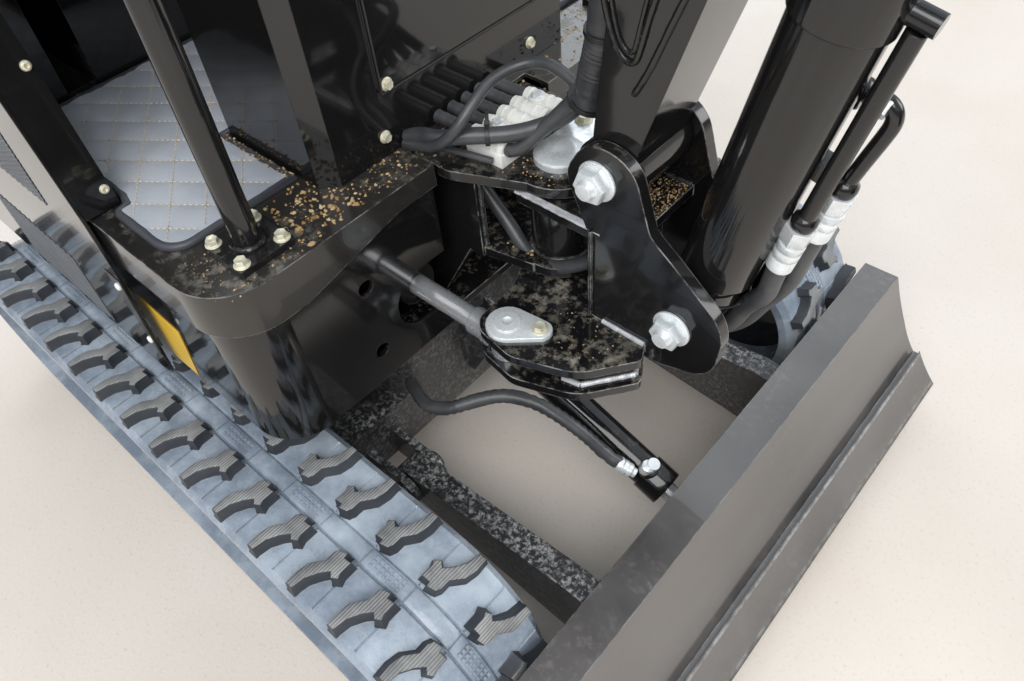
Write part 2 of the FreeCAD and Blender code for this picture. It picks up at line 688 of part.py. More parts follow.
def tube(name, route, radius, place):
    """A tube along straight runs joined by the largest tangent arcs; route is in the frame of place."""
    points = [Vector(*(size(entry).value for entry in point)) for point in route]
    edges, last = [], points[0]
    for before, corner, after in zip(points, points[1:], points[2:]):
        back, ahead = before - corner, after - corner
        half, run = back.getAngle(ahead) / 2, 0.45 * min(back.Length, ahead.Length)
        start, end = corner + back.normalize() * run, corner + ahead.normalize() * run
        bisector = (back + ahead).normalize()
        middle = corner + bisector * (run / math.cos(half) - run * math.tan(half))
        edges += [Part.LineSegment(last, start).toShape(), Part.Arc(start, middle, end).toShape()]
        last = end
    edges.append(Part.LineSegment(last, points[-1]).toShape())
    ring = Part.Wire(Part.makeCircle(radius.value, points[0], points[1] - points[0]))
    made = doc.addObject("Part::Feature", name)
    made.Label = name
    made.Shape = Part.Wire(edges).makePipeShell([ring], True, False)
    made.Placement = place
    return made


# Upper structure

deck_low = S.tower_top + S.ring_height + S.seat_gap
deck_top = deck_low + S.deck_thick
weight_front = -S.tail_radius + 170


def build_upper_frame():
    body = new_body("upper_frame")
    add(body, "XY", deck_low, deck_top, box(weight_front, 255, -S.deck_half, S.deck_half, 30))
    side = [(60, deck_top - 2), (225, deck_top - 2), (296, S.lower_lug - 13), (318, S.lower_lug - 13),
            (318, S.nose_top - S.nose_plate), (60, S.nose_top - S.nose_plate)]
    both_sides(body, "XZ", S.nose_half - S.nose_plate, S.nose_half, side)
    top = [(60, -S.nose_mouth + 6), (300, -S.nose_mouth + 6, 20), (S.kingpin_x + 2, -S.nose_lug + 1),
           (S.kingpin_x + 2, S.nose_lug - 1), (300, S.nose_mouth - 6, 20), (60, S.nose_mouth - 6)]
    low = [(60, -S.nose_half), (300, -S.nose_half, 20), (S.kingpin_x, -S.nose_lug + 1),
           (S.kingpin_x, S.nose_lug - 1), (300, S.nose_half, 20), (60, S.nose_half)]
    add(body, "XY", S.nose_top - S.nose_plate, S.nose_top, top)
    add(body, "XY", S.nose_top - S.nose_plate, S.nose_top, (S.kingpin_x, 0, S.nose_lug))
    add(body, "XY", S.lower_lug - 13, S.lower_lug, low)
    add(body, "XY", S.lower_lug - 13, S.lower_lug, (S.kingpin_x, 0, S.nose_lug - 3))
    add(body, "XY", S.lower_lug - 1, S.nose_top - 27 - S.seat_gap, (S.kingpin_x, 0, S.nose_boss))
    cut(body, "XY", S.ear_low, S.floor_top, (S.kingpin_x, 0, S.kingpin_radius + S.shaft_gap))
    under = S.floor_top - S.skin
    both_sides(body, "XZ", 200, 210, box(-150, 215, deck_top - 2, under))
    add(body, "YZ", -160, -150, box(-210, 210, deck_top - 2, under))
    base = swing_base
    for low_z in (swing_height - 36, swing_height + 24):
        add(body, "XY", low_z, low_z + 12, box(base[0] - 40, base[0] + 30, base[1] - 34, -S.nose_half + 2, 10))
    add(body, "XY", deck_top - 2, swing_height + 36,
        box(base[0] - 52, base[0] - 40, base[1] - 34, -S.nose_half + 2))
    add(body, "XY", swing_height - 40, swing_height + 40, (base[0], base[1], S.ear_pin))
    return body


def build_kingpin():
    body = new_body("kingpin")
    x, lug = S.kingpin_x, S.nose_top
    add(body, "XY", S.ear_low - 6, lug + 2, (x, 0, S.kingpin_radius))
    add(body, "XY", lug, lug + S.keeper_thick, (x, 0, 29))
    add(body, "XY", lug, lug + S.keeper_thick, [(x - 28, 4), (x - 24, 72, 13), (x + 6, 74, 13), (x + 28, 8)])
    return body


def build_nose_hoses():
    """The hoses over the nose, from the console to the front of their clamp, and the bolted clamp."""
    hoses = new_body("nose_hoses")
    clamp = new_body("hose_clamp")
    base = S.nose_top
    middle = base + S.hose_rise
    rows = [size(4) + S.hose_pitch * step for step in (-2, -1, 0, 1, 2)]
    high = base + S.clamp_high
    add(clamp, "XY", base, high, box(S.clamp_rear, S.clamp_front, rows[0] - 13, rows[4] + 13, 5))
    for y in rows:
        add(hoses, "YZ", S.console_front + 3.3, S.clamp_front + 6, (y, middle, S.hose_radius))
        cut(clamp, "YZ", S.clamp_rear - 1, S.clamp_front + 1, (y, middle, S.hose_radius + S.shaft_gap))
    for y in (rows[1] - S.hose_pitch / 2, rows[3] + S.hose_pitch / 2):
        add(clamp, "XY", high - 1, high + 7, ((S.clamp_rear + S.clamp_front) / 2, y, 8))
    return [hoses, clamp]


def build_floor():
    body = new_body("floor_plate")
    top, half, front = S.floor_top, S.floor_half, S.floor_front
    corner = S.floor_round
    rear = S.seat_front - 20
    mouth = S.nose_mouth
    deck = [(rear, -half), (front, -half, corner), (front, -mouth), (S.console_front + 14, -mouth),
            (S.console_front + 14, mouth), (front, mouth), (front, half, corner), (rear, half)]
    add(body, "XY", top - S.lip_depth, top, deck)
    inner = half - S.skin
    well = [(rear - 1, -inner), (front - S.skin, -inner, corner - S.skin),
            (front - S.skin, inner, corner - S.skin), (rear - 1, inner)]
    cut(body, "XY", top - S.lip_depth - 1, top - S.skin, well)
    taper = [(mouth - 1, top - S.lip_depth - 1), (mouth - 1, top - S.lip_thin), (mouth + 60, top - S.lip_thin),
             (mouth + 190, top - S.lip_depth)]
    cut(body, "YZ", S.console_front, front + 1, [(-y, z) for y, z in taper])
    cut(body, "YZ", S.console_front, front + 1, taper)
    return body


def build_skirts():
    """The front skirts under the floor's lip, one each side, with the hole for the swing cylinder's rod."""
    body = new_body("front_skirts")
    face, half, corner = S.floor_front - 9, S.floor_half - 9, S.floor_round - 4
    back, inside = face - S.skin, half - S.skin
    for side in (-1, 1):
        outline = [(0, half * side), (face, half * side, corner), (face, S.nose_mouth * side),
                   (back, S.nose_mouth * side), (back, inside * side, corner - S.skin), (0, inside * side)]
        add(body, "XY", S.skirt_low, S.floor_top - S.skin, outline)
    slot = [(-180, swing_height - 40, 39), (-88, swing_height - 40), (-88, swing_height + 40),
            (-180, swing_height + 40, 39)]
    cut(body, "YZ", face - 20, face + 1, slot)
    for y, z in ((-214, 525), (-216, 421)):
        cut(body, "YZ", face - 20, face + 1, (y, z, 10))
    return body


def build_side_cover(name, side):
    """A side cover: the outer sheet, its folded front flange, its top and the inner wall beside the seat."""
    body = new_body(name)
    t, out, low, top = S.hood_sheet, S.cover_half, S.cover_low, S.cover_top
    rear = -S.tail_radius + 130

    skin = [(40, low, 20), (66, S.floor_top - S.lip_depth), (64, S.floor_top), (16, top), (rear, top),
            (rear, low, 10)]
    add(body, "XZ", *span(out - t, out, side), skin)
    add(body, "XZ", *span(out - S.cover_flange, out - t + 1, side),
        [(57, S.floor_top + 2), (63, S.floor_top + 2), (15.5, top - 0.5), (9.5, top - 0.5)])
    inner = S.seat_half + 40
    add(body, "XY", top - t, top, box(rear, 14, *span(inner, out - 1, side)))
    add(body, "XZ", *span(inner, inner + t, side), box(rear, S.seat_front, S.floor_top, top))
    add(body, "YZ", S.seat_front - t, S.seat_front, box(*span(inner, out - 1, side), S.floor_top, top))
    return body


def build_counterweight():
    body = new_body("counterweight")
    front, x = weight_front, -S.tail_radius
    outline = [(front, -370), (front - 50, -370), (x + 60, -330, 90), (x, -150, 220), (x, 150, 220),
               (x + 60, 330, 90), (front - 50, 370), (front, 370)]
    add(body, "XY", deck_low, S.hood_low - 8, outline)
    return body


def build_engine():
    body = new_body("engine")
    add(body, "XY", deck_top, S.seat_top - 15, box(-570, -240, -185, 185, 25))
    return body


def build_hood():
    """The engine hood, a lid of sheet open below and in front, hinged at its upper front edge."""
    body = new_body("engine_hood")
    front, rear, low, top = S.hood_front, S.hood_rear, S.hood_low, S.hood_top
    half, t = S.hood_half, S.hood_sheet
    add(body, "XZ", -half, half,
        [(front, low), (front, top), (rear + 60, top, 70), (rear, top - 120, 60), (rear, low)])
    cut(body, "XZ", -half + t, half - t,
        [(front + 1, low - 1), (front + 1, top - t), (rear + 60 + t, top - t, 66), (rear + t, top - 120, 56),
         (rear + t, low - 1)])
    both_sides(body, "XZ", 105, 140, (front, top, 10))
    cut(body, "XZ", -140.5, -104.5, (front, top, 5 + S.shaft_gap))
    cut(body, "XZ", 104.5, 140.5, (front, top, 5 + S.shaft_gap))
    for low in (-151, 140):
        cut(body, "XZ", low, low + 11, box(front - 14, front + 1, top - 16, top + 1))
    return body


def build_seat_box():
    body = new_body("seat_box")
    t = S.hood_sheet
    rear = S.hood_front + S.seat_gap
    add(body, "XY", S.floor_top, S.seat_top, box(rear, S.seat_front, -S.seat_half, S.seat_half))
    cut(body, "XY", S.floor_top - 1, S.seat_top - t,
        box(rear - 1, S.seat_front - t, -S.seat_half + t, S.seat_half - t))
    front, top = S.hood_front, S.hood_top
    for low, high, shape in ((141, 149, bar((front + 12, S.seat_top - 2), (front, top), 8)),
                             (141, 149, (front, top, 10)), (105, 149, (front, top, 5))):
        both_sides(body, "XZ", low, high, shape)
    return body


def build_seat():
    body = new_body("seat")
    x, z = S.seat_front, S.seat_top
    cushion = [(x + 15, z, 12), (x + 20, z + 78, 28), (x - 140, z + 92)]
    back = [(x - 212, z + 98, 40), (x - 252, z + 440, 28), (x - 318, z + 430, 28), (x - 286, z + 60, 30)]
    add(body, "XZ", -S.seat_wide, S.seat_wide, cushion + back + [(x - 240, z, 12)])
    return body


def build_mats():
    """One mat round the console, narrower between the side covers."""
    body = new_body("floor_mats")
    wide, inner, front = S.mat_half, S.console_half + S.mat_gap, S.mat_front
    narrow = S.cover_half - S.cover_flange - S.mat_gap
    rear, step, notch = S.seat_front + S.mat_gap, S.console_rear + 10, S.console_rear - S.mat_gap
    half = [(rear, narrow), (step, narrow), (step, wide), (front, wide, S.mat_round), (front, inner),
            (notch, inner)]
    add(body, "XY", S.floor_top, S.floor_top + S.mat_thick,
        [(corner[0], -corner[1], *corner[2:]) for corner in half] + half[::-1])
    return body


def build_console():
    body = new_body("console")
    front, rear, half, z = S.console_front, S.console_rear, S.console_half, S.floor_top
    chamfer = 18
    outline = [(rear, -half), (front - chamfer, -half), (front, -half + chamfer), (front, half - chamfer),
               (front - chamfer, half), (rear, half)]
    add(body, "XY", z, S.console_top, outline)
    cut(body, "XZ", -half - 1, half + 1, [(front + 1, S.console_top + 1), (front - 60, S.console_top + 1),
                                          (front - 60, S.console_top), (front + 1, S.console_top - 70)])
    cover = front + 3
    add(body, "YZ", front, cover, box(-111, half - 22, z + 70, S.console_top - 80, 14))
    return body


def build_levers():
    body = new_body("control_levers")
    x, z = S.console_rear + 70, S.console_top
    for y in (-130, -32, 32, 130):
        tall = 190 if abs(y) > 100 else 230
        add(body, "XY", z, z + tall, (x, y, 7))
        add(body, "XY", z + tall, z + tall + 46, (x, y, 17))
        add(body, "XY", z, z + 24, (x, y, 24))
    return body


def build_canopy():
    posts = new_body("canopy_posts")
    under = S.roof_top - S.roof_depth + 6
    places = [(S.post_x, S.post_y, S.floor_top), (S.rear_post_x, S.rear_post_y, S.cover_top)]
    half = S.post_flange / 2
    for x, y, z in places:
        for side in (-1, 1):
            across = y * side
            add(posts, "XY", z, z + S.flange_thick, box(x - half, x + half, across - half, across + half, 4))
            add(posts, "XY", z, under, (x, across, S.post_radius))
    roof = new_body("canopy_roof")
    front, rear, wide, top = S.roof_front, S.roof_rear, S.roof_half, S.roof_top
    add(roof, "XY", top - S.roof_depth, top, box(rear, front, -wide, wide, 60))
    cut(roof, "XY", top - S.roof_depth - 1, under, box(rear + 6, front - 6, -wide + 6, wide - 6, 54))
    cut(roof, "XZ", -wide - 1, wide + 1, [(front + 1, top + 1), (front - 140, top + 1), (front - 140, top),
                                          (front + 1, top - 22)])
    return [posts, roof]


def build_exhaust():
    body = new_body("exhaust")
    add(body, "XY", S.cover_top, S.cover_top + 210, (S.rear_post_x + 130, -S.rear_post_y, 24))
    add(body, "XY", S.cover_top, S.cover_top + 10, (S.rear_post_x + 130, -S.rear_post_y, 40))
    return body


# Boom swing

swing_base = (size(-80), size(-135))
swing_height = (S.ear_low + S.ear_high) / 2


def build_swing_bracket():
    body = new_body("swing_bracket")
    x, half, plate = S.kingpin_x, S.bracket_half, S.bracket_plate
    back = S.foot_pin_x - 7
    add(body, "XY", S.nose_top - 27, S.nose_top - 15,
        [(x - 20, -half, 14), (back + 14, -half), (back + 14, half), (x - 20, half, 14)])
    for low in (S.ear_low, S.ear_high - S.ear_plate):
        ear = [(x - 34, 0), (x - 30, 36, 16), (x + 20, half, 20), (back + 14, half), (back + 14, 2 - half),
               (back + 72, 2 - half), (back + 84, -half - 20, 10), (back + 40, S.ear_y - 6, 60),
               (S.ear_x + 30, S.ear_y - 32, 34), (S.ear_x - 34, S.ear_y - 22, 26),
               (S.ear_x - 36, S.ear_y + 50, 30), (x - 30, -36, 16)]
        add(body, "XY", low, low + S.ear_plate, ear)
        add(body, "XY", low, low + S.ear_plate, (x, 0, 48))
    web = [(back + 12, 2 - half), (back + 62, 2 - half), (back + 72, -half - 14, 8),
           (back + 34, S.ear_y + 8, 40), (back + 12, S.ear_y + 4)]
    add(body, "XY", S.ear_low, S.ear_high, web)
    add(body, "YZ", back, back + 14, box(-half, half, S.ear_low, S.nose_top - 15))
    a, b = (S.foot_pin_x, S.foot_pin_z), (S.lift_pin_x, S.lift_pin_z)
    side = [
        (back, S.ear_low + 32),
        (b[0] - 12, b[1] - 66, 30),
        (b[0] + 50, b[1] - 44, 40),
        (b[0] + 58, b[1] + 30, 50),
        (b[0] - 6, b[1] + 82, 40),
        (a[0] + 62, a[1] - 38, 30),
        (a[0] + 40, a[1] + 30, 38),
        (a[0] - 12, a[1] + 44, 40),
        (a[0] - 40, a[1] - 6, 34),
        (back, S.nose_top - 30),
    ]
    both_sides(body, "XZ", half - plate, half, side)
    add(body, "XY", S.nose_top - 15, S.nose_top - 3, box(back, a[0] + 42, -half + 1, half - 1))
    for pin in (a, b):
        cut(body, "XZ", -half - 1, half + 1, (pin[0], pin[1], S.main_pin + S.shaft_gap))
    cut(body, "XY", S.ear_low - 1, S.nose_top, (x, 0, S.kingpin_radius + S.shaft_gap))
    cut(body, "XY", S.ear_low - 1, S.ear_high + 1, (S.ear_x, S.ear_y, S.ear_pin + S.shaft_gap))
    return body


def hexagon(x, z, radius):
    angles = [math.radians(60 * step) for step in range(6)]
    return [(x + radius * math.cos(angle), z + radius * math.sin(angle)) for angle in angles]


def build_bracket_pins():
    body = new_body("bracket_pins")
    half = S.bracket_half
    for x, z in ((S.foot_pin_x, S.foot_pin_z), (S.lift_pin_x, S.lift_pin_z)):
        add(body, "XZ", -half - 20, half + 20, (x, z, S.main_pin))
        both_sides(body, "XZ", half, half + 4, (x, z, 25))
        both_sides(body, "XZ", half + 4, half + 16, hexagon(x, z, 22))
    x, y, top = S.ear_x, S.ear_y, S.ear_high + S.keeper_thick
    add(body, "XY", S.ear_low - 4, S.ear_low + S.ear_plate, (x, y, S.ear_pin))
    add(body, "XY", S.ear_high - S.ear_plate, S.ear_high + 1, (x, y, S.ear_pin))
    tail = [(x + 8.2, y - 20.8), (x + 43, y + 6.1, 9), (x + 35.5, y + 25, 9), (x - 8.6, y + 20.8)]
    add(body, "XY", S.ear_high, top, (x, y, 23))
    add(body, "XY", S.ear_high, top, tail)
    return body


# Boom, arm and bucket

tip = (S.foot_pin_x + S.tip_dx, S.foot_pin_z + S.tip_dz)
knee = (S.foot_pin_x + S.knee_dx, S.foot_pin_z + S.knee_dz)
rod_eye = (S.foot_pin_x + 229.5, S.foot_pin_z + 484.4)
arm_base = (knee[0] - 44, knee[1] + 134)

lift_eye = (tip[0] - 218, tip[1] - 250)

# The arm and what it carries are drawn about the arm's pivot, with the arm plumb
own_pin = (size(0), -S.arm_length)
own_rocker = (size(0), S.link_base - S.arm_length)
own_link = (S.link_arm, S.link_base - S.arm_length)
own_ear = (S.link_arm, -S.arm_length)
own_base = (size(102), size(-164))
own_eye = (size(8.6), size(164.8))


def swung(point):
    """A point of the arm's own drawing, in the machine's frame."""
    x, z = point
    turn = S.arm_swing
    return tip[0] + x * cosine(turn) - z * sine(turn), tip[1] + x * sine(turn) + z * cosine(turn)


def arm_body(name):
    """A sub-part drawn about the arm's pivot and leant with the arm."""
    return new_body(name, x=tip[0], z=tip[1], turn=S.arm_swing, axis=Vector(0, -1, 0))


EYE_HALF = 19
LUG_LOW, LUG_HIGH = 21, 33

# The hose sleeve behind the boom, from above the foot pin: ahead of that pin, to the left, above it
SLEEVE_ROUTE = [(-42, 0, 92), (-30, 0, 180), (-16, 0, 350), (14, 0, 600)]
# The boom cylinder's steel line, to the port by its gland: along its barrel, to the left, above its axis
PORT = (354, 2)
LINE_ROUTE = [(150, 2, -50), (PORT[0] - 9.3, 2, -50)]


# Plates on the boom, as corners ahead of and above a pin, with the radius that rounds a corner: the
# boom cylinder's lug round its rod eye, the arm cylinder's lug round its base pin, and the sleeve's saddles
ROD_LUG = [(-70, 70), (-78, -46), (14, -34, 30), (26, 26, 24), (-10, 40, 20)]
ARM_LUG = [(10, -84), (64, -52), (62, -34), (26, 6, 20), (0, 26, 18), (-26, 6, 20), (-24, -96)]
SADDLES = [
    [(-22.6, 105), (0, 105), (0, 125), (-19.8, 125)],
    [(17.6, 485), (60, 485), (60, 515), (21.2, 515)],
]


def shifted(point, corners):
    """Corners given from a point, in the machine's frame."""
    return [(point[0] + corner[0], point[1] + corner[1], *corner[2:]) for corner in corners]


def build_boom():
    body = new_body("boom")
    half = S.boom_half
    a = (S.foot_pin_x, S.foot_pin_z)
    outline = [
        (a[0] - 22, a[1] - 20),
        (a[0] - 16, a[1] + 44),
        (a[0] - 2, a[1] + 168),
        (knee[0] - 66, knee[1] + 8, 60),
        (knee[0] - 36, knee[1] + 62, 40),
        (tip[0] - 20, tip[1] + 30),
        (tip[0] + 20, tip[1] - 34),
        (knee[0] + 69, knee[1] - 46, 90),
        (a[0] + 85, a[1] + 192),
        (a[0] + 33, a[1] + 34),
        (a[0] + 24, a[1] - 20),
    ]
    add(body, "XZ", -half, half, outline)
    add(body, "XZ", -half, half, (a[0], a[1], 35))
    add(body, "XZ", -half, half, (tip[0], tip[1], 40))
    both_sides(body, "XZ", LUG_LOW, LUG_HIGH, shifted(rod_eye, ROD_LUG), shifted(arm_base, ARM_LUG))
    fork = S.arm_half + 2
    ux, uz = Size(0.835, "0.835"), Size(0.55, "0.55")
    back = (tip[0] - ux * 158, tip[1] - uz * 158)
    nx, nz = 0.55, -0.835
    cut(body, "XZ", -fork, fork, [
        (back[0] - nx * 90.0, back[1] - nz * 90.0), (back[0] + nx * 90.0, back[1] + nz * 90.0),
        (tip[0] + 90 + nx * 90, tip[1] + 50 + nz * 90), (tip[0] + 90 - nx * 90, tip[1] + 50 - nz * 90)])
    cut(body, "XZ", -half - 1, half + 1, (a[0], a[1], S.main_pin + S.shaft_gap))
    both_sides(body, "XZ", LUG_HIGH, LUG_HIGH + 8, (rod_eye[0], rod_eye[1], S.main_pin + 4))
    add(body, "XZ", -20, 20, *(shifted(a, saddle) for saddle in SADDLES))
    x, z = lift_eye
    add(body, "XZ", -S.lift_plate / 2, S.lift_plate / 2,
        [(x - 52, z - 6), (x - 12, z - 34, 24), (x + 40, z + 8, 26), (x + 46, z + 64), (x - 30, z + 20)])
    cut(body, "XZ", -S.lift_plate, S.lift_plate, (x, z, S.lift_bore))
    add(body, "XZ", -LUG_HIGH - 8, LUG_HIGH + 8, (arm_base[0], arm_base[1], S.small_pin))
    add(body, "XZ", -half - 12, half + 12, (tip[0], tip[1], S.small_pin))
    return body


def build_arm():
    body = arm_body("arm")
    half = S.arm_half
    low, eye, base = own_pin, own_eye, own_base
    outline = [
        (-26, low[1]),
        (26, low[1]),
        (29, low[1] + 330),
        (66, -190),
        (60, -20, 40),
        (34, 46, 20),
        (-28, 46, 20),
        (-52, -40, 40),
        (-34, low[1] + 200),
    ]
    add(body, "XZ", -half, half, outline)
    add(body, "XZ", -half, half, (low[0], low[1], 29))
    tail = [(-30, 30), (36, 30)] + shifted(eye, [(27, 8, 24), (0, 30, 18), (-27, 8, 24)])
    both_sides(body, "XZ", LUG_LOW, LUG_HIGH, tail)
    lug = [(50, base[1] + 60), (50, base[1] - 58)] + shifted(base, [(8, -28, 24), (27, 12, 22), (0, 34, 20)])
    both_sides(body, "XZ", LUG_LOW, LUG_HIGH, lug)
    for point in ((size(0), size(0)), low, own_rocker):
        cut(body, "XZ", -half - 1, half + 1, (point[0], point[1], S.small_pin + S.shaft_gap))
    add(body, "XZ", -LUG_HIGH - 8, LUG_HIGH + 8, (base[0], base[1], S.small_pin))
    both_sides(body, "XZ", LUG_HIGH, LUG_HIGH + 8, (eye[0], eye[1], S.small_pin + 4))
    return body


def build_links():
    rocker = arm_body("rocker_links")
    low, high = S.arm_half + 2, S.arm_half + 12
    both_sides(rocker, "XZ", low, high, bar(own_rocker, own_link, 21))
    for x, z in (own_rocker, own_link):
        both_sides(rocker, "XZ", low, high, (x, z, 24))
    add(rocker, "XZ", -high - 4, high + 4, (own_rocker[0], own_rocker[1], S.small_pin))
    both_sides(rocker, "XZ", EYE_HALF + 2, high + 4, (own_link[0], own_link[1], S.small_pin))
    push = arm_body("push_link")
    both_sides(push, "XZ", 23, 36, bar(own_link, own_ear, 17))
    for x, z in (own_link, own_ear):
        both_sides(push, "XZ", 23, 36, (x, z, 21))
    add(push, "XZ", -24, 24, box(own_ear[0] - 9, own_ear[0] + 9, own_ear[1] + 24, own_ear[1] + 74))
    for x, z in (own_link, own_ear):
        cut(push, "XZ", -40, 40, (x, z, S.small_pin + S.shaft_gap))
    return [rocker, push]


def build_bucket():
    """The bucket, drawn with its mouth upright below its pivot, then leant back from the arm."""
    pin = swung(own_pin)
    body = new_body("bucket", x=pin[0], z=pin[1], turn=S.arm_swing - S.bucket_lean, axis=Vector(0, -1, 0))
    half, t = S.bucket_half, S.bucket_sheet
    shell = [(-15, -44), (236, -30, 60), (300, -120, 90), (286, -262, 110), (150, -392, 60), (-6, -420),
             (-8, -410)]
    add(body, "XZ", -half, half, shell)
    hollow = [(-30, -44 - t), (232, -30 - t, 52), (300 - t, -122, 84), (286 - t, -258, 103),
              (150 - t, -386 + t / 2, 54), (-30, -412 + t)]
    cut(body, "XZ", -half + 8, half - 8, hollow)
    turned = S.bucket_lean
    ear = (S.link_arm * cosine(turned), S.link_arm * sine(turned))
    low, high = S.arm_half + 2, S.arm_half + 13
    plate = [(-16, -50), (235, -36), (205, 10, 30), (ear[0] + 24, ear[1] + 16, 22),
             (ear[0] - 10, ear[1] + 32, 22), (20, 32, 26), (-26, 28, 26), (-30, -20, 20)]
    both_sides(body, "XZ", low, high, plate)
    for x, z in ((size(0), size(0)), ear):
        add(body, "XZ", -high - 4, high + 4, (x, z, S.small_pin))
    tooth = [(40, -404), (30, -432), (-6, -484), (-14, -482), (-12, -420), (10, -402)]
    for y in (-168, -56, 56, 168):
        add(body, "XZ", y - 18, y + 18, tooth)
    return body


build_order = [
    build_lower_frame, build_track_frames, build_wheels, build_slew_ring, build_blade, build_blade_arms,
    build_upper_frame, build_kingpin, build_nose_hoses, build_floor, build_skirts, build_counterweight,
    build_engine, build_hood, build_seat_box, build_seat, build_mats, build_console, build_levers,
    build_canopy, build_exhaust,
    build_swing_bracket, build_bracket_pins, build_boom, build_arm, build_links, build_bucket,
]
subparts = []
for build in build_order:
    made = build()
    subparts += made if isinstance(made, list) else [made]
subparts += [build_track("track_left", 1), build_track("track_right", -1)]
subparts += [build_side_cover("side_cover_left", 1), build_side_cover("side_cover_right", -1)]

boom_place = Placement(Vector((slew_x + S.foot_pin_x).value, 0, S.foot_pin_z.value), Rotation())
subparts.append(tube("boom_hoses", SLEEVE_ROUTE, S.sleeve_radius, boom_place))

# Name, base pin, rod pin, and then in millimetres: closed barrel, barrel and rod radius, eye radius,
# half width of the base eye and of the rod eye, pin radius, inner end of the rod
RAMS = [
    ("blade_cylinder", barrel_pin, rod_pin, 350, 25, 14, 22, 17, 17, S.blade_pin, 280),
    ("boom_cylinder", (S.lift_pin_x, S.lift_pin_z), rod_eye, 372, 38, 18, 27, 40, EYE_HALF, S.main_pin, 285),
    ("arm_cylinder", arm_base, swung(own_eye), 398, 31, 16, 26, EYE_HALF, EYE_HALF, S.small_pin, 300),
    ("bucket_cylinder", swung(own_base), swung(own_link), 362, 27, 14, 24, EYE_HALF, EYE_HALF, S.small_pin,
     182),
    ("swing_cylinder", swing_base, (S.ear_x, S.ear_y), 340, 25, 13, 22, 23, 12.5, S.ear_pin, 190),
]
for name, start, end, closed, barrel, rod, eye, base_half, rod_half, pin, inner in RAMS:
    flat = {"plane": "XY", "height": swing_height} if name == "swing_cylinder" else {}
    made = ram(name, start, end, closed, size(barrel), rod, eye, base_half, rod_half, pin, inner, **flat)
    if name == "boom_cylinder":
        add(made[0], "XY", -62, 1 - size(barrel), (PORT[0], PORT[1], 9))
    subparts += made

barrel_place = doc.getObject("boom_cylinder_barrel").Placement
subparts.append(tube("boom_cylinder_line", LINE_ROUTE, S.line_radius, barrel_place))

doc.recompute()
broken = [item.Name for item in doc.Objects if {"Invalid", "Error"} & set(item.State)]
if broken:
    raise RuntimeError(f"features that failed: {broken}")
for part in subparts:
    if part.Shape.isNull() or not part.Shape.isValid():
        raise RuntimeError(f"{part.Label} has no valid shape")
    part.Shape.exportStep(f"parts/{part.Label}.step")
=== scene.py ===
import json
import math
import random

import bmesh
import bpy
from mathutils import Matrix, Vector
from mathutils.noise import noise as cloud


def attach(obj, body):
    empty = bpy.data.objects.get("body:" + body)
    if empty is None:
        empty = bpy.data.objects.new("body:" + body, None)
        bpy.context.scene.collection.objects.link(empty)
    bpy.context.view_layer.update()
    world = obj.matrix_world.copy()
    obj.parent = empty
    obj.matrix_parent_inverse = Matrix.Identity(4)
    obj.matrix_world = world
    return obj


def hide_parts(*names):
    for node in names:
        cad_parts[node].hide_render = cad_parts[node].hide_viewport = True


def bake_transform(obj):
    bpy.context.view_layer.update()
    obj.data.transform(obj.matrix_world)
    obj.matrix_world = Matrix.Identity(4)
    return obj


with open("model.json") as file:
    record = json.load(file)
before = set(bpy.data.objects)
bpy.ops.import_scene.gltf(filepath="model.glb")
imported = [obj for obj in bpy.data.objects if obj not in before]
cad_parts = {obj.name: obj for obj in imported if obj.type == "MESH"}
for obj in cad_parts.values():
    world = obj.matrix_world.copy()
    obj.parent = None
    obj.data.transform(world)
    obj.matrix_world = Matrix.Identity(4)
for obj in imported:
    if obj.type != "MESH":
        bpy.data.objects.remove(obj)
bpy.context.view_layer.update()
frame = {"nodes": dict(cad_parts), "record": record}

MM = 0.001
SLEW = -453.5  # the slewing axis in the row frame, in millimetres
nodes = frame["nodes"]
UP = Vector((0, 0, 1))


def at(x, y, z):
    """A point of the machine's frame, in millimetres ahead of the slewing axis, in the row frame."""
    return Vector(((x + SLEW) * MM, y * MM, z * MM))


# Materials

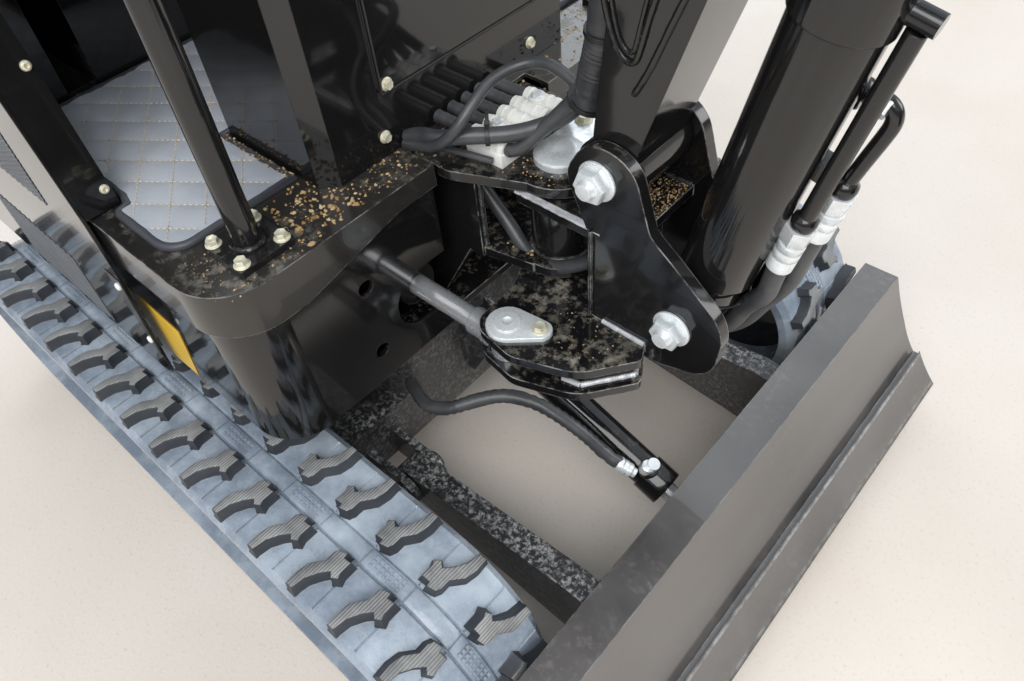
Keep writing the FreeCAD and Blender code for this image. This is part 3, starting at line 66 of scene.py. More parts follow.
class Look:
    """A material under construction: one Principled shader and the nodes that feed it."""

    def __init__(self, name, color, roughness, metallic=0.0, coat=0.0, ior=1.5):
        self.material = bpy.data.materials.new(name)
        self.material.use_nodes = True
        self.tree = self.material.node_tree
        self.shader = self.tree.nodes["Principled BSDF"]
        self.shader.inputs["Base Color"].default_value = (*color, 1)
        self.shader.inputs["Roughness"].default_value = roughness
        self.shader.inputs["Metallic"].default_value = metallic
        self.shader.inputs["IOR"].default_value = ior
        self.shader.inputs["Coat Weight"].default_value = coat
        self.shader.inputs["Coat Roughness"].default_value = 0.03
        self.place = self.node("ShaderNodeTexCoord").outputs["Object"]

    def link(self, socket, value):
        if isinstance(value, bpy.types.NodeSocket):
            self.tree.links.new(value, socket)
        elif isinstance(value, tuple) and len(value) == 3 and socket.type == "RGBA":
            socket.default_value = (*value, 1)
        else:
            socket.default_value = value

    def node(self, kind, **values):
        made = self.tree.nodes.new(kind)
        for key, value in values.items():
            if key in made.inputs:
                self.link(made.inputs[key], value)
            else:
                setattr(made, key, value)
        return made

    def noise(self, scale, detail=3.0, roughness=0.5):
        return self.node("ShaderNodeTexNoise", Vector=self.place, Scale=scale, Detail=detail,
                         Roughness=roughness).outputs["Fac"]

    def steps(self, value, low, high):
        """value mapped so that low gives 0 and high gives 1."""
        made = self.node("ShaderNodeMapRange", Value=value)
        made.inputs["From Min"].default_value = low
        made.inputs["From Max"].default_value = high
        return made.outputs["Result"]

    def math(self, operation, first, second=0.0):
        made = self.node("ShaderNodeMath", operation=operation)
        for socket, value in zip(made.inputs, (first, second)):
            self.link(socket, value)
        return made.outputs["Value"]

    def times(self, first, second):
        return self.math("MULTIPLY", first, second)

    def plus(self, first, second):
        return self.math("ADD", first, second)

    def mix(self, factor, first, second):
        made = self.node("ShaderNodeMix", data_type="RGBA")
        for socket, value in zip((made.inputs[0], made.inputs[6], made.inputs[7]), (factor, first, second)):
            self.link(socket, value)
        return made.outputs[2]

    def feed(self, name, socket):
        self.tree.links.new(socket, self.shader.inputs[name])

    def rounded(self, radius):
        """The surface's direction with every edge rounded by radius metres."""
        made = self.node("ShaderNodeBevel", samples=6)
        made.inputs["Radius"].default_value = radius
        return made.outputs["Normal"]

    def bump(self, height, strength, distance, soften=0.0):
        """Relief from height, over edges that are rounded by soften metres in the light."""
        made = self.node("ShaderNodeBump", Height=height, Strength=strength, Distance=distance)
        if soften:
            self.tree.links.new(self.rounded(soften), made.inputs["Normal"])
        self.feed("Normal", made.outputs["Normal"])

    def direction(self):
        return self.node("ShaderNodeNewGeometry").outputs["Normal"]

    def upward(self):
        return self.node("ShaderNodeSeparateXYZ", Vector=self.direction()).outputs["Z"]

    def edges(self, radius, low=0.004, high=0.12):
        """1 along the edges, where the rounded direction leaves the surface's own, and 0 on the faces."""
        dot = self.node("ShaderNodeVectorMath", operation="DOT_PRODUCT")
        self.tree.links.new(self.rounded(radius), dot.inputs[0])
        self.tree.links.new(self.direction(), dot.inputs[1])
        return self.steps(self.math("SUBTRACT", 1.0, dot.outputs["Value"]), low, high)


BLACK = (0.006, 0.006, 0.007)
BARE_STEEL = (0.42, 0.42, 0.41)
FLOOR_DUST = (0.30, 0.27, 0.22)


def paint(name, dust=0.25, rough=0.055, wear=0.0, dust_color=FLOOR_DUST, ripple=0.05, haze_and_reflection=0.02, ior=1.45):
    """Gloss black enamel with orange peel, dust on what faces up, and edges worn to the steel."""
    look = Look(name, BLACK, rough, coat=0.35 if ior < 1.5 else 1.0, ior=ior)
    speckle = look.steps(look.noise(70, 8, 0.72), 0.50, 0.66)
    broad = look.steps(look.noise(7, 5, 0.6), 0.38, 0.70)
    dusty = look.times(look.times(speckle, broad), look.steps(look.upward(), 0.35, 0.95))
    dusty = look.times(dusty, dust)
    # a broad film of the dust colour over every face: dust, and on the blade also painted reflection of the
    # floor
    film = look.times(look.steps(look.noise(3.2, 4), 0.25, 0.8), haze_and_reflection)
    dusty = look.plus(dusty, film)
    color = look.mix(dusty, BLACK, dust_color)
    smear = look.times(look.steps(look.noise(13, 5), 0.3, 0.8), 0.07)
    gloss = look.plus(smear, look.plus(dusty, rough))
    if wear:
        chips = look.steps(look.noise(38, 6, 0.7), 0.42, 0.60)
        worn = look.times(look.times(look.edges(0.0022), chips), wear)
        color = look.mix(worn, color, BARE_STEEL)
        gloss = look.plus(gloss, look.times(worn, 0.25))
    look.feed("Base Color", color)
    look.feed("Roughness", gloss)
    look.bump(look.noise(210, 2), ripple, 0.0004, soften=0.0018)
    return look.material


def rough_paint(name):
    """Thick black chassis paint with a coarse grain and grey specks where it has rubbed."""
    look = Look(name, BLACK, 0.28, coat=0.6)
    specks = look.steps(look.noise(150, 8, 0.75), 0.48, 0.62)
    patches = look.times(look.steps(look.noise(9, 5), 0.30, 0.55), look.steps(look.upward(), -0.4, 0.8))
    rubbed = look.times(look.times(specks, patches), 0.9)
    look.feed("Base Color", look.mix(rubbed, (0.022, 0.022, 0.024), (0.46, 0.46, 0.46)))
    look.bump(look.plus(look.noise(380, 4, 0.7), look.times(look.noise(55, 3), 0.6)), 0.8, 0.0014,
              soften=0.002)
    return look.material


def metal(name, color, roughness, grain=140.0, dirt=0.0, metallic=1.0, spread=0.68):
    look = Look(name, color, roughness, metallic=metallic)
    spots = look.steps(look.noise(grain, 4), 0.35, 0.75)
    darker = tuple(channel * spread for channel in color)
    shade = look.mix(spots, color, darker)
    if dirt:
        stain = look.times(look.steps(look.noise(grain * 0.5, 6, 0.7), 0.50, 0.68), dirt)
        shade = look.mix(stain, shade, (0.16, 0.11, 0.05))
    look.feed("Base Color", shade)
    look.feed("Roughness", look.plus(look.times(spots, 0.18), roughness))
    look.bump(look.noise(grain * 2, 2), 0.10, 0.0004, soften=0.0006)
    return look.material


def rubber(name, color, dust_color, dust, roughness=0.5, soften=0.0012, coat=0.0):
    look = Look(name, color, roughness, coat=coat)
    patches = look.times(look.steps(look.noise(14, 6, 0.65), 0.35, 0.75), dust)
    look.feed("Base Color", look.mix(patches, color, dust_color))
    look.feed("Roughness", look.plus(look.times(look.noise(45, 3), 0.25), roughness - 0.12))
    look.bump(look.noise(500, 3), 0.25, 0.0006, soften=soften)
    return look.material


def belt_with_painted_sheen():
    """The belt between the lugs: blue-grey rubber with a coat's sheen, dusty in patches. Its base colour is
    lightened to a pale blue as painted sheen from the sky, and its lighter patches are dust and painted sheen
    together.
    """
    look = Look("track_belt_rubber_painted_sheen", (0.055, 0.066, 0.082), 0.28, coat=0.35)
    look.shader.inputs["Coat Roughness"].default_value = 0.18
    # both colours are lighter and bluer than the rubber itself: painted sheen from the sky, with dust in the
    # lighter patches
    patches = look.steps(look.noise(11, 6, 0.65), 0.40, 0.70)
    base = look.mix(patches, (0.200, 0.240, 0.300), (0.43, 0.49, 0.56))
    look.feed("Base Color", look.mix(look.times(look.steps(look.noise(240, 6, 0.7), 0.55, 0.70), 0.35),
                                     base, (0.46, 0.46, 0.45)))
    look.feed("Roughness", look.plus(look.times(patches, 0.22), 0.18))
    look.bump(look.plus(look.noise(300, 4), look.times(look.noise(40, 3), 0.8)), 0.35, 0.0012,
              soften=0.0010)
    return look.material


def lug_top():
    """The tops of the lugs: dull grown-grey rubber, cut with fine lines across the track."""
    look = Look("track_lug_rubber", (0.14, 0.13, 0.12), 0.55)
    marks = look.node("ShaderNodeUVMap").outputs["UV"]
    lines = look.node("ShaderNodeTexWave", Vector=marks, wave_type="BANDS", bands_direction="X", Scale=9.0,
                      Distortion=0.35, Detail=2.0).outputs["Fac"]
    lines.node.inputs["Detail Scale"].default_value = 1.5
    rubbed = look.steps(look.noise(26, 6, 0.65), 0.36, 0.68)
    base = look.mix(rubbed, (0.170, 0.172, 0.176), (0.34, 0.342, 0.338))
    base = look.mix(look.times(look.steps(lines, 0.55, 0.15), 0.5), base, (0.05, 0.048, 0.047))
    look.feed("Base Color", base)
    look.feed("Roughness", look.plus(look.times(rubbed, 0.18), 0.40))
    look.bump(look.plus(lines, look.times(look.noise(420, 3), 0.3)), 0.6, 0.0009, soften=0.0012)
    return look.material


def plain(name, color, roughness, relief=0.1, scale=300, vary=0.8):
    look = Look(name, color, roughness)
    shade = look.steps(look.noise(30, 4), 0.3, 0.7)
    look.feed("Base Color", look.mix(shade, color, tuple(channel * vary for channel in color)))
    look.bump(look.noise(scale, 3), relief, 0.0006, soften=0.0008)
    return look.material


def quilted_vinyl():
    """Slate-grey vinyl with a fine leather grain, shiny where it is rounded, dusted near the console. Its base
    colour is lightened to a pale blue-grey as painted sheen from the sky.
    """
    look = Look("quilted_vinyl", (0.052, 0.055, 0.066), 0.36, coat=0.15)
    look.shader.inputs["Coat Roughness"].default_value = 0.3
    grain = look.node("ShaderNodeTexVoronoi", Vector=look.place, Scale=620.0).outputs["Distance"]
    broad = look.steps(look.noise(8, 5), 0.35, 0.7)
    # both blue-greys are lighter than the vinyl itself: painted sheen from the sky
    base = look.mix(broad, (0.30, 0.32, 0.365), (0.42, 0.44, 0.475))
    crumbs = look.times(look.steps(look.noise(120, 8, 0.75), 0.60, 0.68),
                       look.steps(look.noise(10, 4), 0.50, 0.66))
    look.feed("Base Color", look.mix(look.times(crumbs, 0.7), base, (0.22, 0.13, 0.06)))
    look.bump(grain, 0.25, 0.0004)
    return look.material


def dirt():
    """Loose crumbs of wood, clay and rust, from yellow to brown."""
    look = Look("dry_crumbs", (0.4, 0.28, 0.14), 0.9)
    tone = look.node("ShaderNodeTexWhiteNoise", Vector=look.node("ShaderNodeUVMap").outputs["UV"],
                     noise_dimensions="2D").outputs["Value"]
    ramp = look.node("ShaderNodeValToRGB", Fac=tone)
    stops = ramp.color_ramp.elements
    stops[0].position, stops[0].color = 0.0, (0.16, 0.075, 0.025, 1)
    stops[1].position, stops[1].color = 1.0, (0.62, 0.50, 0.30, 1)
    middle = stops.new(0.45)
    middle.color = (0.36, 0.21, 0.075, 1)
    look.feed("Base Color", ramp.outputs["Color"])
    look.bump(look.noise(900, 3), 0.5, 0.0008)
    return look.material


looks = {
    "black_paint": paint("gloss_black_enamel"),
    "worn_paint": paint("worn_black_enamel", dust=1.0, rough=0.10, wear=0.9),
    "floor_paint": paint("dusty_floor_enamel", dust=1.0, rough=0.08, wear=0.7, haze_and_reflection=0.10),
    # the blade's strong brown-grey film is partly dust and partly painted reflection of the floor
    "blade_paint": paint("streaked_blade_enamel", dust=0.3, rough=0.15, wear=0.6,
                         dust_color=(0.33, 0.30, 0.285), ripple=0.10, haze_and_reflection=0.38, ior=1.75),
    "chassis": rough_paint("grained_black_chassis"),
    "track_rubber": belt_with_painted_sheen(),
    "lug_top": lug_top(),
    # the lug flanks are near black as painted shade, darker than the belt and lug tops of the same rubber; their
    # lighter patches are dust
    "lug_side": rubber("track_lug_flank_painted_shade", (0.024, 0.027, 0.033), (0.09, 0.10, 0.115), 0.5, 0.5),
    "hose_rubber": rubber("hose_rubber", (0.026, 0.028, 0.032), (0.15, 0.15, 0.155), 0.5, 0.42, coat=0.15),
    "cast_steel": metal("cast_steel", (0.22, 0.21, 0.20), 0.45, 60.0, dirt=0.4),
    "bare_steel": metal("bare_edge_steel", (0.74, 0.75, 0.78), 0.32, 90.0, dirt=0.3, metallic=0.5),
    "zinc": metal("bright_zinc_plate", (0.86, 0.90, 0.92), 0.26, dirt=0.06, metallic=0.45, spread=0.86),
    "yellow_zinc": metal("yellow_zinc_plate", (0.84, 0.80, 0.62), 0.28, dirt=0.15, metallic=0.45,
                         spread=0.82),
    "chrome_rod": metal("chromed_rod", (0.80, 0.82, 0.85), 0.14, 30.0, metallic=0.75, spread=0.92),
    "seat_vinyl": plain("black_seat_vinyl", (0.018, 0.018, 0.019), 0.42, 0.5, 420),
    "mat": quilted_vinyl(),
    "mat_edge": plain("bound_edge_vinyl", (0.055, 0.058, 0.068), 0.45, 0.3, 500),
    "thread": plain("beige_stitching", (0.62, 0.54, 0.42), 0.8, 0.4, 900),
    "knob_plastic": plain("black_moulded_plastic", (0.02, 0.02, 0.02), 0.42, 0.4),
    "clamp_plastic": plain("white_clamp_plastic", (0.86, 0.86, 0.82), 0.35, 0.3, 120, 0.86),
    "yellow_vinyl": plain("yellow_sticker_film", (0.90, 0.56, 0.04), 0.25, 0.05, 60, 0.9),
    "black_vinyl": plain("black_sticker_film", (0.012, 0.012, 0.013), 0.22, 0.05, 60, 0.9),
    "grille": plain("black_wire_mesh", (0.17, 0.18, 0.20), 0.4, 0.3, 500),
    "crumbs": dirt(),
}

slot_of = {row["node"]: row["material_slot"] for row in frame["record"]["subparts"]}
for name, node in nodes.items():
    node.data.materials.clear()
    node.data.materials.append(looks[slot_of[name]])
OWN_LOOK = {
    "chassis": ("blade_arms", "lower_frame", "track_frames", "travel_motors"),
    "worn_paint": ("swing_bracket", "upper_frame", "bucket", "rocker_links", "push_link"),
    "floor_paint": ("floor_plate",),
    "blade_paint": ("blade_moldboard",),
}
for look_name, its_nodes in OWN_LOOK.items():
    for name in its_nodes:
        nodes[name].data.materials[0] = looks[look_name]


# Building blocks, in millimetres of the machine's frame

def facing(origin, axis, spin=0.0):
    """A place at origin whose own Z runs along axis, turned about it by spin degrees."""
    turn = Vector(axis).normalized().to_track_quat("Z", "Y").to_matrix().to_4x4()
    return Matrix.Translation(Vector(origin)) @ turn @ Matrix.Rotation(math.radians(spin), 4, "Z")


def hexagon(radius):
    return [(radius * math.cos(math.radians(60 * k)), radius * math.sin(math.radians(60 * k)))
            for k in range(6)]


def circle(radius, sides):
    return [(radius * math.cos(2 * math.pi * k / sides), radius * math.sin(2 * math.pi * k / sides))
            for k in range(sides)]


def hoop(x, y, z, radius, count):
    """Points round a level ring, ending where it starts."""
    turns = [2 * math.pi * k / count for k in range(count + 1)]
    return [Vector((x + radius * math.cos(turn), y + radius * math.sin(turn), z)) for turn in turns]


def oblong(x0, y0, x1, y1):
    return [(x0, y0), (x1, y0), (x1, y1), (x0, y1)]


def sides_of(outline):
    return zip(outline, outline[1:] + outline[:1])


def stacked(place, levels):
    """Rings of points at the place, from (outline, height along its Z) levels."""
    return [[place @ Vector((x, y, z)) for x, y in outline] for outline, z in levels]


def ripples(depth, pace=3.4):
    """What a welder's ripples add to the radius of a bead."""
    return lambda distance, angle: depth * abs(math.sin(math.pi * distance / pace))


def corrugated(pitch, depth):
    return lambda distance, angle: depth * math.cos(2 * math.pi * distance / pitch)


def inset(outline, depth):
    """The outline, anticlockwise, moved inward by depth."""
    moved = []
    count = len(outline)
    for i in range(count):
        before, here, after = (Vector(outline[(i + k) % count]) for k in (-1, 0, 1))
        first, last = (here - before).normalized(), (after - here).normalized()
        inward = Vector((-first.y - last.y, first.x + last.x))
        reach = inward.length_squared / 2
        moved.append(tuple(here + inward * depth / max(reach, 0.5)))
    return moved


def route(points):
    """Points along the smooth line of a hose, read from its NURBS spline."""
    curve = bpy.data.curves.new("route", "CURVE")
    curve.dimensions = "3D"
    curve.resolution_u = 7
    spline = curve.splines.new("NURBS")
    spline.points.add(len(points) - 1)
    for spot, point in zip(spline.points, points):
        spot.co = (*point, 1)
    spline.order_u = 3
    spline.use_endpoint_u = True
    thing = bpy.data.objects.new("route", curve)
    mesh = bpy.data.meshes.new_from_object(thing)
    line = [vertex.co.copy() for vertex in mesh.vertices]
    bpy.data.objects.remove(thing)
    bpy.data.curves.remove(curve)
    bpy.data.meshes.remove(mesh)
    return line


BEAD_PACE = 3.2  # from one ripple of a weld bead to the next


class Heap:
    """Small forms gathered into one mesh. Each form takes the material that is current when it is added."""

    def __init__(self, *materials):
        self.mesh = bmesh.new()
        self.materials = materials
        self.current = 0
        self.marks = self.mesh.loops.layers.uv.new("UVMap")

    def use(self, name):
        self.current = self.materials.index(name)

    def face(self, corners, mark=(0.0, 0.0)):
        try:
            made = self.mesh.faces.new(corners)
        except ValueError:
            return None
        made.material_index = self.current
        for loop in made.loops:
            loop[self.marks].uv = mark
        return made

    def loft(self, rings, caps=(True, True), mark=(0.0, 0.0), loop=False):
        """Skin over rings of points with as many points each; a loop joins the last ring to the first."""
        rows = [[self.mesh.verts.new(point) for point in ring] for ring in rings]
        count = len(rows[0])
        for low, high in zip(rows, rows[1:] + (rows[:1] if loop else [])):
            for i in range(count):
                j = (i + 1) % count
                self.face((low[i], low[j], high[j], high[i]), mark)
        if caps[0]:
            self.face(rows[0][::-1], mark)
        if caps[1]:
            self.face(rows[-1], mark)
        return rows

    def prism(self, outline, low, high, place=Matrix(), chamfer=0.0):
        """The outline, anticlockwise, from low to high along the place's Z."""
        levels = [(outline, low)]
        if chamfer:
            levels += [(outline, high - chamfer), (inset(outline, chamfer * 0.4), high - chamfer * 0.25),
                       (inset(outline, chamfer), high)]
        else:
            levels += [(outline, high)]
        self.loft(stacked(place, levels))

    def lathe(self, profile, place=Matrix(), sides=24):
        """Rings of (radius, height) about the place's Z."""
        self.loft(stacked(place, [(circle(max(radius, 0.01), sides), height) for radius, height in profile]))

    def box(self, low, high, chamfer=1.0):
        (x0, y0, z0), (x1, y1, z1) = low, high
        self.prism(oblong(x0, y0, x1, y1), z0, z1, chamfer=chamfer)

    def nut(self, place, size, high, end):
        """A hexagon nut of that radius over its corners, on its washer, with the bolt's end."""
        wide = size * 1.16
        self.lathe([(size * 1.12, 0), (wide, 0.4), (wide, size * 0.14), (size * 1.1, size * 0.18)], place)
        low = size * 0.16
        outline = hexagon(size)
        rim = [tuple(Vector(corner) * 0.93) for corner in outline]
        top = high + low
        self.loft(stacked(place, [(rim, low), (outline, low + size * 0.1), (outline, top - size * 0.12),
                                  (rim, top)]))
        bore = size * 0.56
        turns = [(bore, top - 0.5)]
        step = size * 0.13
        for k in range(max(1, int(end / step))):
            turns += [(bore, top + step * (k + 0.1)), (bore * 0.93, top + step * (k + 0.55))]
        turns += [(bore * 0.86, top + end), (bore * 0.3, top + end + 0.3)]
        self.lathe(turns, place)

    def bolt(self, place, size, high, washer=True):
        """A flanged hexagon bolt head with a shallow dish."""
        low = 0.0
        if washer:
            self.lathe([(size * 1.25, 0), (size * 1.3, 0.3), (size * 1.3, 1.0), (size * 0.95, 2.0)], place)
            low = 1.2
        outline = hexagon(size)
        rim = [tuple(Vector(corner) * 0.9) for corner in outline]
        dish = [tuple(Vector(corner) * 0.62) for corner in outline]
        self.loft(stacked(place, [(outline, low), (outline, low + high * 0.8), (rim, low + high),
                                  (dish, low + high * 0.9)]))

    def screw(self, place, size):
        """A round screw head with a socket."""
        self.lathe([(size, 0), (size, size * 0.25), (size * 0.8, size * 0.55), (size * 0.45, size * 0.65),
                    (size * 0.42, size * 0.3), (0, size * 0.3)], place, 16)

    def tube(self, line, radius, sides=14, swell=None, caps=(True, True)):
        """A round tube along points; swell(distance, angle) adds to its radius."""
        last = len(line) - 1
        ahead = [(line[min(i + 1, last)] - line[max(i - 1, 0)]).normalized() for i in range(len(line))]
        side = ahead[0].orthogonal().normalized()
        rings, distance = [], 0.0
        for i, point in enumerate(line):
            side = (side - ahead[i] * side.dot(ahead[i])).normalized()
            other = ahead[i].cross(side)
            if i:
                distance += (point - line[i - 1]).length
            ring = []
            for k in range(sides):
                angle = 2 * math.pi * k / sides
                reach = radius + (swell(distance, angle) if swell else 0.0)
                ring.append(point + (side * math.cos(angle) + other * math.sin(angle)) * reach)
            rings.append(ring)
        self.loft(rings, caps=caps)

    def bead(self, start, end, radius, seed):
        """A weld bead from start to end, with the ripples that the welder leaves."""
        start, end = Vector(start), Vector(end)
        count = max(4, int((end - start).length / (BEAD_PACE / 3)))
        line = [start.lerp(end, k / count) for k in range(count + 1)]

        def swell(distance, angle):
            wobble = cloud(Vector((distance * 0.12, seed * 7.3, 0))) * radius * 0.22
            return wobble + radius * 0.13 * abs(math.sin(math.pi * distance / BEAD_PACE)) - radius * 0.08

        self.tube(line, radius, 8, swell)

    def crumb(self, place, size, draw):
        """A chip with flat faces; its mark picks its colour."""
        mark = (draw.random(), draw.random())
        ring = []
        for k in range(5):
            angle = 2 * math.pi * (k + 0.4 * draw.random()) / 5
            reach = size * draw.uniform(0.6, 1.1)
            squeeze = draw.uniform(0.5, 1.0)
            ring.append(Vector((reach * math.cos(angle), reach * math.sin(angle) * squeeze, 0)))
        top = [corner * draw.uniform(0.35, 0.75) + UP * size * draw.uniform(0.3, 0.7) for corner in ring]
        self.loft([[place @ corner for corner in ring], [place @ corner for corner in top]], mark=mark)

    def piece(self, name, body, replaces=(), sharp=38):
        """The mesh as an object that rides on a body, or stays free where body is None."""
        self.mesh.transform(Matrix.Diagonal((MM, MM, MM, 1)) @ Matrix.Translation((SLEW, 0, 0)))
        bmesh.ops.recalc_face_normals(self.mesh, faces=self.mesh.faces)
        bmesh.ops.triangulate(self.mesh, faces=[face for face in self.mesh.faces if len(face.verts) > 4])
        mesh = bpy.data.meshes.new(name)
        self.mesh.to_mesh(mesh)
        self.mesh.free()
        mesh.shade_smooth()
        mesh.set_sharp_from_angle(angle=math.radians(sharp))
        for material in self.materials:
            mesh.materials.append(looks[material])
        thing = bpy.data.objects.new(name, mesh)
        bpy.context.scene.collection.objects.link(thing)
        if body:
            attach(thing, body)
        if replaces:
            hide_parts(*replaces)
        return thing


# Tracks: the belt's loop round its two wheels, with two rows of hooked lugs. BELT_RADIUS is the radius of the
# belt's outer face, GAUGE_HALF is from the machine's middle to the track's, and LUG_PAIRS is all round the loop.

AXLE_X, AXLE_Z, BELT_RADIUS, LUG_HIGH = 449, 157.5, 139.5, 18
STRIP_HALF, GAUGE_HALF = 12.5, 383
LUG_PAIRS = 37
LOOP = 4 * AXLE_X + 2 * math.pi * BELT_RADIUS

# The belt's section: across from its middle, and out from its outer face
HALF_SECTION = [(10, 0.6), (11.4, -0.4), (12.2, -3.4), (13.4, -3.4), (14.2, -1.2), (15.5, 0), (79, 0),
                (82, -0.6), (86, -5), (90, -9), (90, -22)]
BELT_SECTION = [(-across, out) for across, out in reversed(HALF_SECTION)] + HALF_SECTION
# A lug seen from above, forward and outward from the middle of the strip
LUG_OUTLINE = [
    (-20, 84), (-9, 84), (-6, 66), (2, 52), (10, 43), (16, 48), (24, 43), (21, 36), (21, 20), (10, 21),
    (9, 15), (-3, 18), (-6, 25), (-6, 37), (-18, 52), (-21, 68),
]


def loop_place(distance):
    """X, Z and heading of the belt's outer face at a distance from the middle of its lower run."""
    run, turn = 2 * AXLE_X, math.pi * BELT_RADIUS
    distance %= LOOP
    if distance < run / 2:
        return distance, AXLE_Z - BELT_RADIUS, 0.0
    distance -= run / 2
    if distance < turn:
        angle = distance / BELT_RADIUS
        return (AXLE_X + BELT_RADIUS * math.sin(angle), AXLE_Z - BELT_RADIUS * math.cos(angle), angle)
    distance -= turn
    if distance < run:
        return AXLE_X - distance, AXLE_Z + BELT_RADIUS, math.pi
    distance -= run
    if distance < turn:
        angle = distance / BELT_RADIUS
        return (-AXLE_X - BELT_RADIUS * math.sin(angle), AXLE_Z + BELT_RADIUS * math.cos(angle),
                angle + math.pi)
    return distance - turn - AXLE_X, AXLE_Z - BELT_RADIUS, 2 * math.pi


def belt_frame(distance, centre):
    """The place on the belt: X ahead along it, Y to the machine's left, Z outward."""
    x, z, heading = loop_place(distance)
    ahead = Vector((math.cos(heading), 0, math.sin(heading)))
    out = Vector((math.sin(heading), 0, -math.cos(heading)))
    place = Matrix((ahead, Vector((0, 1, 0)), out)).transposed().to_4x4()
    place.translation = (x, centre, z)
    return place


def build_track(name, side):
    """One track, left for side 1: the belt with its jointed middle strip, the lugs, and the strip's studs."""
    centre = side * GAUGE_HALF
    pitch = LOOP / LUG_PAIRS
    track = Heap("track_rubber", "lug_side", "lug_top")
    stations = []
    for number in range(LUG_PAIRS):
        start = number * pitch
        stations += [(start - 1.5, 0.0), (start - 0.6, -2.6), (start + 0.6, -2.6), (start + 1.5, 0.0)]
        stations += [(start + pitch * share, 0.0) for share in (0.17, 0.33, 0.5, 0.67, 0.83)]
    rings = []
    for number, (distance, cross) in enumerate(stations):
        place = belt_frame(distance, centre)
        ring = []
        for across, out in BELT_SECTION:
            rib = 0.7 if abs(across) in (86, 82) and number % 2 else 0.0
            sunk = cross if abs(across) < STRIP_HALF - 1 or abs(across) > 15 and abs(across) < 80 else 0.0
            ring.append(place @ Vector((0, across, out + rib + sunk)))
        rings.append(ring)
    track.loft(rings, caps=(False, False), loop=True)

    for number in range(2 * LUG_PAIRS):
        row = 1 if number % 2 else -1
        turned = -1 if row == side else 1
        place = belt_frame(LOOP * (number + 0.5) / (2 * LUG_PAIRS), centre)
        outline = [(turned * along, row * across) for along, across in LUG_OUTLINE]
        if sum(ax * by - bx * ay for (ax, ay), (bx, by) in sides_of(outline)) < 0:
            outline.reverse()
        levels = [(inset(outline, -2.2), -0.5), (inset(outline, -0.8), 2.5), (outline, LUG_HIGH - 3.5),
                  (inset(outline, 0.9), LUG_HIGH - 1.0), (inset(outline, 2.4), LUG_HIGH)]
        track.use("lug_side")
        rows = track.loft(stacked(place, levels), caps=(False, False))
        track.use("lug_top")
        top = track.face(rows[-1])
        for loop, (x, y) in zip(top.loops, levels[-1][0]):
            loop[track.marks].uv = (x / 100, y / 100)
        # the rounded shoulder takes the top's rubber too
        for i in range(len(outline)):
            j = (i + 1) % len(outline)
            shoulder = track.mesh.faces.get((rows[-2][i], rows[-2][j], rows[-1][j], rows[-1][i]))
            shoulder.material_index = track.current
            for loop in shoulder.loops:
                local = place.inverted() @ loop.vert.co
                loop[track.marks].uv = (local.x / 100, local.y / 100)
    # pads of fine studs on every second link of the strip
    track.use("track_rubber")
    for number in range(0, LUG_PAIRS, 2):
        place = belt_frame((number + 0.5) * pitch, centre)
        for i in range(-3, 4):
            for j in range(-1, 2):
                x, y = i * 7.5, j * 6.0
                track.prism(oblong(x - 2.4, y - 1.9, x + 2.4, y + 1.9), 0.4, 1.7, place)
    track.piece(f"{name}_dressed", "undercarriage", [name])


# The quilted mat and its stitching

MAT_TOP = 631
MAT_CORNER, MAT_SPAN, MAT_CELL = (-173, -362), (360, 724), 3.2  # the grid that the quilting is cut from
MAT_EDGE, EDGE_SEAM = 9, 628.2  # the bound edge's width and the height of its stitches
QUILT_AHEAD, QUILT_ACROSS = 32, 23  # half diagonals of a diamond
QUILT_START = (-13, -268)
SEAM_STITCHES = 6  # along one side of a diamond


def mat_outline():
    """The mat's outline, anticlockwise, with rounded front corners."""
    wide, narrow, inner = 360, 341, 202
    front, step, notch, rear, round_off = 187, 70, 57, -172, 32
    shoulder = [(step + 12, wide), (step + 4, wide - 3), (step, narrow + 4), (step - 12, narrow),
                (rear, narrow)]
    points = [(x, -y) for x, y in reversed(shoulder)]
    for side in (-1, 1):
        centre = (front - round_off, side * (wide - round_off))
        arc = []
        for k in range(9):
            angle = math.radians(90 * k / 8)
            arc.append((centre[0] + round_off * math.sin(angle),
                        centre[1] + side * round_off * math.cos(angle)))
        if side < 0:
            points += arc + [(front, -inner), (notch, -inner), (notch, inner), (front, inner)]
        else:
            points += arc[::-1]
    return points + shoulder


def inside(point, outline):
    """Whether a point lies within the outline, by the sides that a line ahead of it crosses."""
    x, y = point
    within = False
    for (ax, ay), (bx, by) in sides_of(outline):
        if (ay > y) != (by > y) and x < ax + (y - ay) * (bx - ax) / (by - ay):
            within = not within
    return within


def quilt_height(x, y):
    """Height of the quilting over its seams, from 0 to 1."""
    along, across = (x - QUILT_START[0]) / QUILT_AHEAD, (y - QUILT_START[1]) / QUILT_ACROSS
    first, second = (along + across) / 2, (along - across) / 2
    return (abs(math.sin(math.pi * first)) * abs(math.sin(math.pi * second))) ** 0.3


